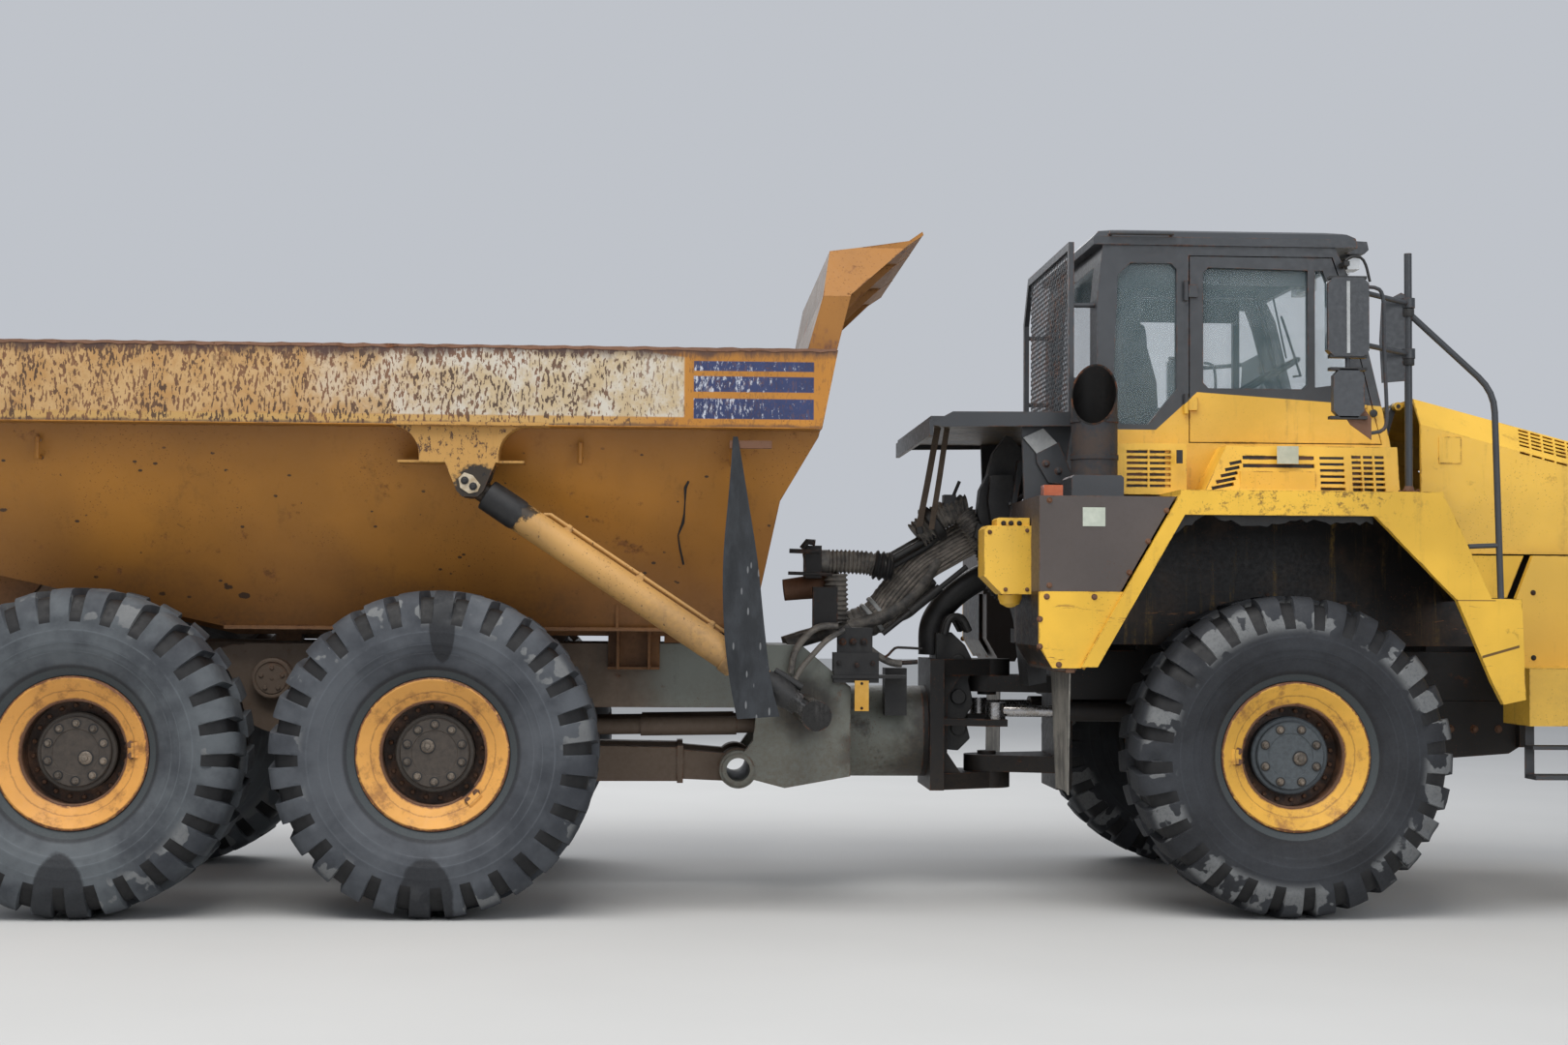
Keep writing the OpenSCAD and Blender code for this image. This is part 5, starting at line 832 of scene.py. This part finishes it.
def add_valves():
    """Valve block, pipes and levers on the rear frame's neck, a rusty boot and a blank yellow tag."""
    v = Piece("neck_valves", "rear_frame", "black")
    v.box((0.31, -0.52, 1.19), (0.565, -0.38, 1.36))
    v.box((0.335, -0.5, 1.36), (0.53, -0.4, 1.5))
    v.box((0.3, -0.53, 1.215), (0.72, -0.3, 1.232))
    v.box((0.615, -0.36, 1), (0.74, -0.2, 1.27))
    v.use("hose").ribbed(-0.3, [(0.334, 1.806), (0.337, 1.67), (0.342, 1.53)], 0.064, 0.006, 0.028)
    v.pipe(-0.5, [(0.335, 1.51), (0.22, 1.5), (0.135, 1.43), (0.085, 1.345), (0.07, 1.24)], 0.02)
    v.pipe(-0.53, [(0.37, 1.49), (0.27, 1.43), (0.185, 1.34), (0.126, 1.27), (0.085, 1.19)], 0.016)
    v.pipe(-0.46, [(0.376, 1.51), (0.47, 1.42), (0.56, 1.345), (0.643, 1.303), (0.7, 1.298)], 0.021)
    v.use("dark").rod(-0.46, [(0.66, 1.3), (0.79, 1.308)], 0.013, 8)
    v.pipe(-0.5, [(0.6, 1.335), (0.622, 1.35), (0.657, 1.386), (0.7, 1.389), (0.812, 1.384)], 0.0075, 8)
    v.rod(-0.52, [(0.055, 1.931), (0.226, 1.927)], 0.013, 8)
    v.rod(-0.5, [(0.05, 1.806), (0.3, 1.8)], 0.01, 8)
    v.box((0.15, -0.42, 1.78), (0.245, -0.24, 1.965))
    v.box((0.195, -0.45, 1.5), (0.335, -0.37, 1.73))
    v.rod(-0.46, [(0.13, 1.945), (0.16, 1.985), (0.205, 1.98)], 0.018, 8)
    port = [(0.021, -0.004), (0.021, 0.018), (0.013, 0.02), (0.013, 0.04), (0.009, 0.042)]
    for x, z in ((0.36, 1.42), (0.42, 1.42), (0.48, 1.42), (0.34, 1.3), (0.44, 1.29), (0.53, 1.3)):
        v.turned(port, (x, -0.5, z), steps=8)
    v.use("rusty").turned([(0.062, 0), (0.066, 0.1), (0.072, 0.21), (0.098, 0.32), (0.104, 0.325), (0.09, 0.315),
                           (0.05, 0.2)], (0.04, -0.2, 1.712), (0.985, 0, 0.12), 30)
    v.use("tag").box((0.427, -0.54, 1.032), (0.507, -0.532, 1.203))
    v.use("dark")
    for z in (1.048, 1.187):
        v.bolt((0.467, -0.54, z), r=0.006)
    v.done(0.003)


# ---- deck behind the cab
def add_deck():
    """Torn cover, brackets, plates and hanging straps behind the cab, and the yellow filter box."""
    d = Piece("deck_fittings", "tractor", "black")
    d.slab([(1.3, 2.605), (1.335, 2.59), (1.452, 2.44), (1.478, 2.33), (1.43, 2.3), (1.345, 2.15), (1.296, 2.045),
            (1.225, 2.075), (1.167, 2.066), (1.135, 2.15), (1.15, 2.29), (1.195, 2.379), (1.225, 2.5)], -0.42, -0.3)
    d.slab([(1.2, 2.37), (1.325, 2.375), (1.345, 2.06), (1.215, 2.05), (1.185, 2.22)], -0.5, -0.2)
    d.slab([(1.13, 2.1), (1.33, 1.99), (1.3, 1.9), (1.22, 1.93), (1.11, 2.02)], -0.47, -0.12)
    d.slab([(1.3, 1.95), (1.5, 1.93), (1.5, 1.2), (1.4, 1.18), (1.36, 1.55), (1.31, 1.72)], -0.62, -0.3)
    d.box((1.33, -0.66, 1.42), (1.47, -0.4, 1.5))
    d.box((1.34, -0.55, 2.05), (1.5, -0.1, 2.12))
    d.use("pale").slab([(1.33, 2.56), (1.44, 2.612), (1.52, 2.53), (1.41, 2.465)], -0.846, -0.826)
    d.use("charcoal").slab([(1.378, 2.442), (1.345, 2.45), (1.295, 2.12), (1.318, 2.104)], -0.58, -0.5)
    d.rod(-0.52, [(1.3, 2.2), (1.47, 2.325)], 0.016, 8)
    d.slab([(1.4, 2.47), (1.525, 2.535), (1.6, 2.36), (1.57, 2.3), (1.47, 2.31), (1.405, 2.42)], -0.852, -0.826)
    d.bolts(-0.852, ((1.455, 2.415), (1.525, 2.375)), 0.014)
    d.use("strap")
    for top, low, w in ((0.905, 0.795, 0.019), (0.958, 0.868, 0.017)):
        rings = []
        for i in range(12):
            t = i / 11
            x, z = top + (low - top) * t, 2.655 - 0.595 * t
            sway = 0.006 * math.sin(9 * t)
            ring = (-w, -0.45), (w, -0.44), (w, -0.436), (-w, -0.446)
            rings.append([Vector((x + dx, y + sway, z)) for dx, y in ring])
        d.skin(rings)
    d.use("black").rod(-0.45, [(0.795, 2.075), (0.803, 2.035)], 0.022, 8)
    d.done(0.004)

    f = Piece("filter_box", "tractor", "yellow", "yellow_paint")
    f.slab([(1.055, 2.035), (1.072, 2.055), (1.308, 2.055), (1.308, 1.69), (1.15, 1.69), (1.055, 1.785)], -1.265,
           -1.03)
    f.slab([(1.125, 2.052), (1.3, 2.052), (1.3, 2.098), (1.135, 2.098), (1.125, 2.088)], -1.25, -1.06)
    f.turned([(0.066, 0.05), (0.064, 0), (0.052, -0.03), (0.022, -0.046), (0.01, -0.05)], (1.212, -1.14, 1.668),
             (0, 0, 1), 28)
    f.use("rusty").bolts(-1.266, ((1.085, 2.02), (1.285, 2.03), (1.285, 1.715), (1.17, 1.715)), 0.008)
    f.use("dark")
    for x in (1.16, 1.2, 1.245):
        f.bolt((x, -1.251, 2.068), r=0.01)
    f.tube([(1.3, -1.2, 1.72), (1.33, -1.2, 1.7), (1.36, -1.15, 1.66)], 0.018, 8)
    piece = f.done(0.007)
    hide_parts("filter_tank")


# ---- panels, fender, nose
def add_panels(side, sign):
    """Panel bolts, blank plate and ragged lip, mirror fittings, nose bolts and lamp on one side of the tractor."""
    p = Piece("panel_fittings_" + side, "tractor", "rusty", "yellow_paint")
    p.bolts(sign * 1.5265, ((1.977, 2.131), (1.879, 1.969), (1.78, 1.805), (1.36, 2.18), (1.36, 1.735)), 0.011, sign)
    p.bolts(sign * 1.5275, ((1.346, 1.676), (1.596, 1.676), (1.31, 1.559), (1.31, 1.416), (1.41, 1.322)), 0.012, sign)
    p.use("plate").box((1.535, sign * 1.529, 2.045), (1.654, sign * 1.524, 2.144))
    p.use("black")
    lip = [(2.03, 2.032), (2.172, 2.132), (2.3, 2.12), (2.457, 2.088), (2.647, 2.118), (2.837, 2.11), (3.086, 2.106)]
    rng = random.Random(4)
    line, rings = curve(in_plane(0, lip), 0.03), []
    for q in line:
        low, lean = q.z - 0.02 - rng.uniform(0, 0.025), rng.uniform(-0.01, 0.01)
        ring = (0, 1.496, 2.203), (0, 1.49, q.z + 0.02), (lean, 1.482, low), (0, 1.474, low), (0, 1.48, q.z + 0.02)
        rings.append([Vector((q.x + dx, sign * y, z)) for dx, y, z in ring])
    p.skin(rings)
    p.done(0.002)

    f = Piece("mirror_fittings_" + side, "tractor", "charcoal", "charcoal_paint")
    f.use("rusty")
    post_x, post_y, up = 3.295, sign * 1.44, (0, 0, 1)
    f.turned([(0.055, 0), (0.055, 0.01), (0.03, 0.012), (0.022, 0.035)], (post_x, post_y, 2.24), up, 20)
    for dx, dy in ((0.036, 0.036), (-0.036, 0.036), (0.036, -0.036), (-0.036, -0.036)):
        f.bolt((post_x + dx, post_y + dy, 2.25), up, 0.007)
    f.use("charcoal").slab([(3.15, 2.823), (3.277, 2.835), (3.277, 3.295), (3.255, 3.306), (3.15, 3.25),
                            (3.138, 3.05)], sign * 1.44, sign * 1.448)
    f.pipe(sign * 1.78, [(2.975, 3.284), (3.03, 3.272), (3.052, 3.2), (3.055, 2.951), (3.066, 2.64), (3.05, 2.548),
                         (2.975, 2.526)], 0.01)
    f.use("black")
    for z in (2.94, 3.2):
        f.turned([(0.03, -0.022), (0.032, -0.018), (0.032, 0.018), (0.03, 0.022)], (post_x, post_y, z), up, 18)
    f.use("rusty").slab([(2.771, 2.752), (2.914, 2.669), (2.966, 2.601), (2.966, 2.487), (2.856, 2.565),
                         (2.805, 2.644)], sign * 1.838, sign * 1.844)
    f.use("pale").box((2.833, sign * 1.869, 2.93), (2.85, sign * 1.864, 3.3))
    f.use("mirror").box((2.7315, sign * 1.822, 2.945), (2.7335, sign * 1.8 + sign * 0.055, 3.295))
    f.use("black")
    for z in (2.6, 2.85, 2.915, 3.32):
        f.box((2.748, sign * 1.8125, z - 0.008), (2.94, sign * 1.862, z + 0.008))
    f.done(0.003)

    n = Piece("nose_fittings_" + side, "tractor", "dark", "frame_paint")
    n.bolts(sign * 0.939, ((4.16, 1.72), (4.16, 1.36), (5.12, 1.72), (5.12, 1.36)), 0.011, sign)
    lamp, ahead = (5.23, sign * 0.64, 1.64), (1, 0, 0)
    n.use("clear").turned([(0.062, 0), (0.066, 0.012), (0.05, 0.022), (0.02, 0.026)], lamp, ahead, 28)
    n.use("trim").turned([(0.08, -0.004), (0.08, 0.014), (0.066, 0.016), (0.064, 0.006)], lamp, ahead, 28)
    n.done()


def add_cab():
    """Grip, wiper, locks, sun strips and blank plate of the cab, and the mesh of the window guard."""
    c = Piece("cab_trim", "tractor", "black", "charcoal_paint")
    c.pipe(-0.93, [(3.115, 3.555), (3.15, 3.578), (3.2, 3.575), (3.229, 3.534), (3.252, 3.44)], 0.008)
    c.box((3.1, -0.96, 3.525), (3.13, -0.84, 3.55))
    c.tube([(3.01, -0.25, 2.98), (3.055, -0.25, 2.985), (3.05, 0.05, 3.3), (3.045, 0.12, 3.38)], 0.008, 8)
    c.tube([(3.046, 0.02, 3.12), (3.02, 0.22, 3.52)], 0.006, 6)
    for sign in (-1, 1):
        c.turned([(0.022, 0), (0.022, 0.01), (0.012, 0.014)], (3.29, sign * 0.862, 2.713), (0, sign, 0), 16)
    for sign in (-1, 1):
        c.box((2.3, sign * 0.8, 3.425), (2.96, sign * 0.792, 3.56))
    c.use("plate").box((2.675, -1.124, 2.409), (2.793, -1.118, 2.506))
    c.use("black").box((2.123, -1.126, 2.406), (2.156, -1.116, 2.479))
    c.done(0.002)

    mesh = Piece("guard_mesh", "tractor", "charcoal", "charcoal_paint")
    foot, top = 2.7, 3.63
    for k in range(-16, 48):
        for lean in (1, -1):
            y0, y1 = (-0.8 + lean * (z - foot) * 0.9 + k * 0.05 for z in (foot, top))
            low, high = max(min(y0, y1), -0.77), min(max(y0, y1), 0.59)
            if low >= high:
                continue
            t0, t1 = sorted(((low - y0) / (y1 - y0), (high - y0) / (y1 - y0)))
            a, b = Vector((1.605, y0, foot)), Vector((1.605, y1, top))
            mesh.tube([a.lerp(b, max(0, t0)), a.lerp(b, min(1, t1))], 0.0028, 4)
    mesh.done()


def add_seat():
    """Padded driver's seat: bottom, back and head rest, crowned with sewn channels."""
    for name, low, high, deep in (("bottom", (2.1, -0.26, 2.66), (2.57, 0.26, 2.79), 2),
                                  ("back", (2.03, -0.25, 2.76), (2.17, 0.25, 3.3), 0),
                                  ("head", (2.05, -0.145, 3.31), (2.15, 0.145, 3.49), 0)):
        size = [h - l for l, h in zip(low, high)]
        middle = [(h + l) / 2 for l, h in zip(low, high)]
        mesh = bmesh.new()
        bmesh.ops.create_cube(mesh, size=1)
        bmesh.ops.subdivide_edges(mesh, edges=mesh.edges, cuts=11, use_grid_fill=True)
        flat = [i for i in range(3) if i != deep]
        for v in mesh.verts:
            q = [2 * c for c in v.co]
            u, w = (abs(q[i]) for i in flat)
            crown = (1 - u ** 6) * (1 - w ** 6)
            round_ = 1 - 0.1 * (u * w) ** 4
            seam = 0.055 * math.exp(-((abs(q[1]) - 0.55) / 0.07) ** 2) + 0.03 * math.exp(-(q[flat[0]] / 0.06) ** 2)
            for i in flat:
                q[i] *= round_ * (0.965 + 0.035 * (1 - abs(q[deep])))
            q[deep] *= 0.62 + 0.38 * crown - seam * crown
            v.co = [m + s * c / 2 for m, s, c in zip(middle, size, q)]
        pad = show("seat_" + name, smooth_mesh(mesh, "seat_" + name, ["fabric"], 180))
        pad.modifiers.new("smooth", "SUBSURF").levels = 1
        bpy.context.view_layer.update()
        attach(pad, "tractor")


# ---- dump body, flaps, hoists
def add_flaps(side, sign):
    """Rubber flaps: a curved one hanging on the dump body and a stiff pale one behind the front wheel."""
    rng = random.Random(2)
    edge_a = curve(in_plane(0, [(-0.293, 2.5), (-0.31, 2.25), (-0.34, 1.85), (-0.333, 1.5), (-0.3, 1.22),
                                (-0.262, 1.03)]), 0.05)
    edge_b = curve(in_plane(0, [(-0.268, 2.5), (-0.225, 2.25), (-0.16, 1.85), (-0.122, 1.5), (-0.085, 1.22),
                                (-0.04, 1.045)]), 0.05)
    n = min(len(edge_a), len(edge_b))

    def hanging(i, t, face):
        a, b = (edge[i * (len(edge) - 1) // (n - 1)] for edge in (edge_a, edge_b))
        bow = 0.012 * math.sin(math.pi * t) * (i / n) + 0.004 * math.sin(i * 0.7)
        return a.lerp(b, t) + Vector((0, sign * (1.466 + bow + face * 0.004), 0))

    def stiff(i, u, face):
        t = i / 13
        x = 1.471 + 0.02 * t * math.sin(3.1 * u + 0.5) + 0.003 * face + rng.uniform(-0.001, 0.001)
        return Vector((x, sign * (1.515 - (0.57 - 0.1 * t) * (1 - u)), 1.285 - 0.64 * i / 13))

    flap = Piece("body_flap_" + side, "dump_body", "flap", "black_rubber")
    flap.sheet(n, 6, hanging)
    flap.use("rusty").box((-0.31, sign * 1.43, 2.44), (-0.09, sign * 1.468, 2.48))
    piece = flap.done()
    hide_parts("body_flaps")

    flap = Piece("front_flap_" + side, "tractor", "flap_pale", "black_rubber")
    flap.sheet(14, 8, stiff)
    flap.use("rusty").box((1.449, sign * 0.93, 1.28), (1.496, sign * 1.52, 1.336))
    piece = flap.done()
    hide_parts("front_flaps")


def add_hoist(side, sign):
    """Pipe and clips on the hoist barrel, its greasy collar and pin plate, and the boot on the stage."""
    start, along = Vector((-1.655, sign * 1.365, HOIST_PIN_Z)), Vector((0.8334, 0, -0.5526))
    above = Vector((0.5526, 0, 0.8334))

    h = Piece("hoist_fittings_" + side, "hoist_barrel_" + side, "hoist", "body_paint")
    h.tube([start + along * r + above * q for r, q in ((0.4, 0.078), (0.43, 0.098), (1.56, 0.098), (1.6, 0.078))],
           0.01, 10)
    for r in (0.55, 1, 1.45):
        at = start + along * r
        h.turned([(0.016, -0.012), (0.016, 0.012)], at + above * 0.096, along, 12)
        h.box(at + above * 0.074 - Vector((0.012, 0.014, 0.008)), at + above * 0.098 + Vector((0.012, 0.014, 0)))
    h.turned([(0.08, 1.6), (0.088, 1.603), (0.09, 1.66), (0.086, 1.671), (0.064, 1.672)], start, along, 36)
    h.use("black")
    rng = random.Random(3)
    rings = []
    for r, q in ((0.095, 0.079), (0.1, 0.084), (0.27, 0.085), (0.285, 0.0805)):
        rings.append([])
        for k in range(30):
            a, ragged = 2 * math.pi * k / 30, 0.03 * rng.random() if r > 0.25 else 0
            round_it = math.cos(a) * above + math.sin(a) * Vector((0, 1, 0))
            rings[-1].append(start + along * (r + ragged) + q * round_it)
    h.skin(rings)
    h.done(0.0015)

    p = Piece("hoist_pins_" + side, "dump_body", "cream", "body_paint")
    p.slab([(-1.715, 2.268), (-1.685, 2.3), (-1.64, 2.285), (-1.6, 2.235), (-1.615, 2.2), (-1.66, 2.19),
            (-1.705, 2.22)], start.y + sign * 0.083, start.y + sign * 0.1)
    p.use("black").bolts(start.y + sign * 0.1, ((-1.682, 2.258), (-1.638, 2.228)), 0.015, sign)
    p.done(0.002)

    low = Piece("hoist_boot_" + side, "hoist_stage_" + side, "black", "rod_steel")
    low.turned([(0.062 + 0.003 * (k % 2) + 0.01 * math.sin(k / 3.2), 1.84 + 0.205 * k / 12) for k in range(13)],
               start, along, 28)
    low.tube([start + along * 1.86 + above * 0.075, start + along * 2.03 + above * 0.082], 0.021, 10)
    low.done(0.002)


def add_body():
    """Rusty coping on the rails and the long crack in the right-hand wall."""
    b = Piece("body_trim", "dump_body", "rusty", "body_paint")
    rng = random.Random(9)
    for sign in (-1, 1):
        rings = []
        for i in range(121):
            x = -4.74 + 4.98 * i / 120
            lift = 0.004 + 0.006 * abs(math.sin(i * 0.9)) * rng.uniform(0.3, 1)
            low = 0.01 + 0.014 * rng.random()
            ring = ((1.496, 2.957 - low), (1.5035, RAIL_TOP - low * 0.6), (1.5, RAIL_TOP + lift),
                    (1.43, RAIL_TOP + lift * 0.6), (1.42, 2.95))
            rings.append([Vector((x, sign * y, z)) for y, z in ring])
        b.skin(rings)
    b.use("black")
    crack = [(-0.521, -1.198, 2.28), (-0.538, -1.181, 2.246), (-0.539, -1.143, 2.171), (-0.542, -1.113, 2.112),
             (-0.548, -1.09, 2.065), (-0.574, -1.054, 1.995), (-0.564, -1.022, 1.93), (-0.543, -0.977, 1.841)]
    b.tube([Vector(p) + Vector((0, -0.001, 0)) for p in crack], lambda run: 0.006 + 0.003 * math.sin(run * 31), 6)
    b.done()


def add_hitch():
    """Black greasy web, pin collars and small hoses of the yoke."""
    g = Piece("hitch_grease", "hitch", "black", "brown_steel")
    g.slab([(0.93, 0.8), (1.06, 0.79), (1.13, 0.86), (1.1, 0.98), (1.15, 1.06), (1.12, 1.2), (1.16, 1.28), (1.1, 1.4),
            (1.02, 1.475), (0.93, 1.47)], -0.17, 0.17)
    for y in (-0.24, -0.12, 0.12, 0.24):
        g.tube(curve([(0.97, y, 1.46), (1, y, 1.55), (1.07, y * 0.9, 1.56), (1.12, y * 0.8, 1.48)]), 0.022)
    for z in (0.92, 1.1, 1.3):
        g.turned([(0.045, -0.19), (0.045, 0.19)], (1.06, 0, z), (0, 1, 0), 18)
    g.done(0.008)


def add_frame():
    """Caps of the walking beams with their bolts, and the guard under the nose."""
    f = Piece("bogie_fittings", "rear_frame", "dusty", "frame_paint")
    for sign in (-1, 1):
        cap = Vector((-2.785, sign * 0.722, 1.205))
        f.turned([(0.112, -0.02), (0.112, 0.004), (0.104, 0.012), (0.092, 0.012), (0.088, 0.006), (0.03, 0.006)], cap,
                 (0, sign, 0), 40)
        for k in range(5):
            turn = math.radians(90 + 72 * k)
            f.bolt(cap + Vector((0.06 * math.cos(turn), sign * 0.006, 0.06 * math.sin(turn))), (0, sign, 0), 0.014)
        f.bolt(cap + Vector((0, sign * 0.006, 0)), (0, sign, 0), 0.01)
    f.done(0.002)

    g = Piece("belly_guard", "tractor", "dark", "frame_paint")
    g.slab([(3.62, 1.104), (4.36, 1.104), (4.33, 0.88), (4.2, 0.8), (3.8, 0.77), (3.66, 0.85)], -0.46, 0.46)
    for x in (3.72, 4.24):
        g.slab([(x, 1.106), (x + 0.05, 1.106), (x + 0.05, 0.84), (x, 0.84)], -0.52, 0.52)
    g.use("rusty")
    for sign in (-1, 1):
        for x in (3.86, 4, 4.14):
            g.bolt((x, sign * 0.46, 0.94), (0, sign, 0), 0.016)
    g.done(0.004)


# ---- building
add_camera()
add_materials()
for key, names in FINISH.items():
    dress(M[key], names)
add_wheels()
for side, sign in SIDES.items():
    add_panels(side, sign)
    add_flaps(side, sign)
    add_hoist(side, sign)
add_hoses()
add_valves()
add_deck()
add_cab()
add_seat()
add_body()
add_frame()
add_hitch()

bpy.ops.mesh.primitive_plane_add(size=120, location=(0, 0, 0))
floor = bpy.context.object
floor.name = "floor"
s = Shader("floor_paint")
s.colour = s.mix((0.52, 0.52, 0.51), (0.57, 0.57, 0.56), s.noise(0.6, 2))
s.finish(0.85)
floor.data.materials.append(M["floor_paint"])

world = bpy.data.worlds.new("studio")
scene.world = world
world.use_nodes = True
world.node_tree.nodes["Background"].inputs[0].default_value = (0.84, 0.88, 0.95, 1)
world.node_tree.nodes["Background"].inputs[1].default_value = 0.62
add_light("key", (-3, -6, 12), (0, 0, 1.2), (12, 8), 1500, (1, 0.98, 0.95))
add_light("fill", (7, -12, 5), (1, 0, 1.5), (7, 5), 260, (0.93, 0.96, 1))
add_light("back", (-2, 10, 9), (0, 0, 1.5), (9, 6), 600)
bpy.context.scene.view_settings.view_transform = "Standard"
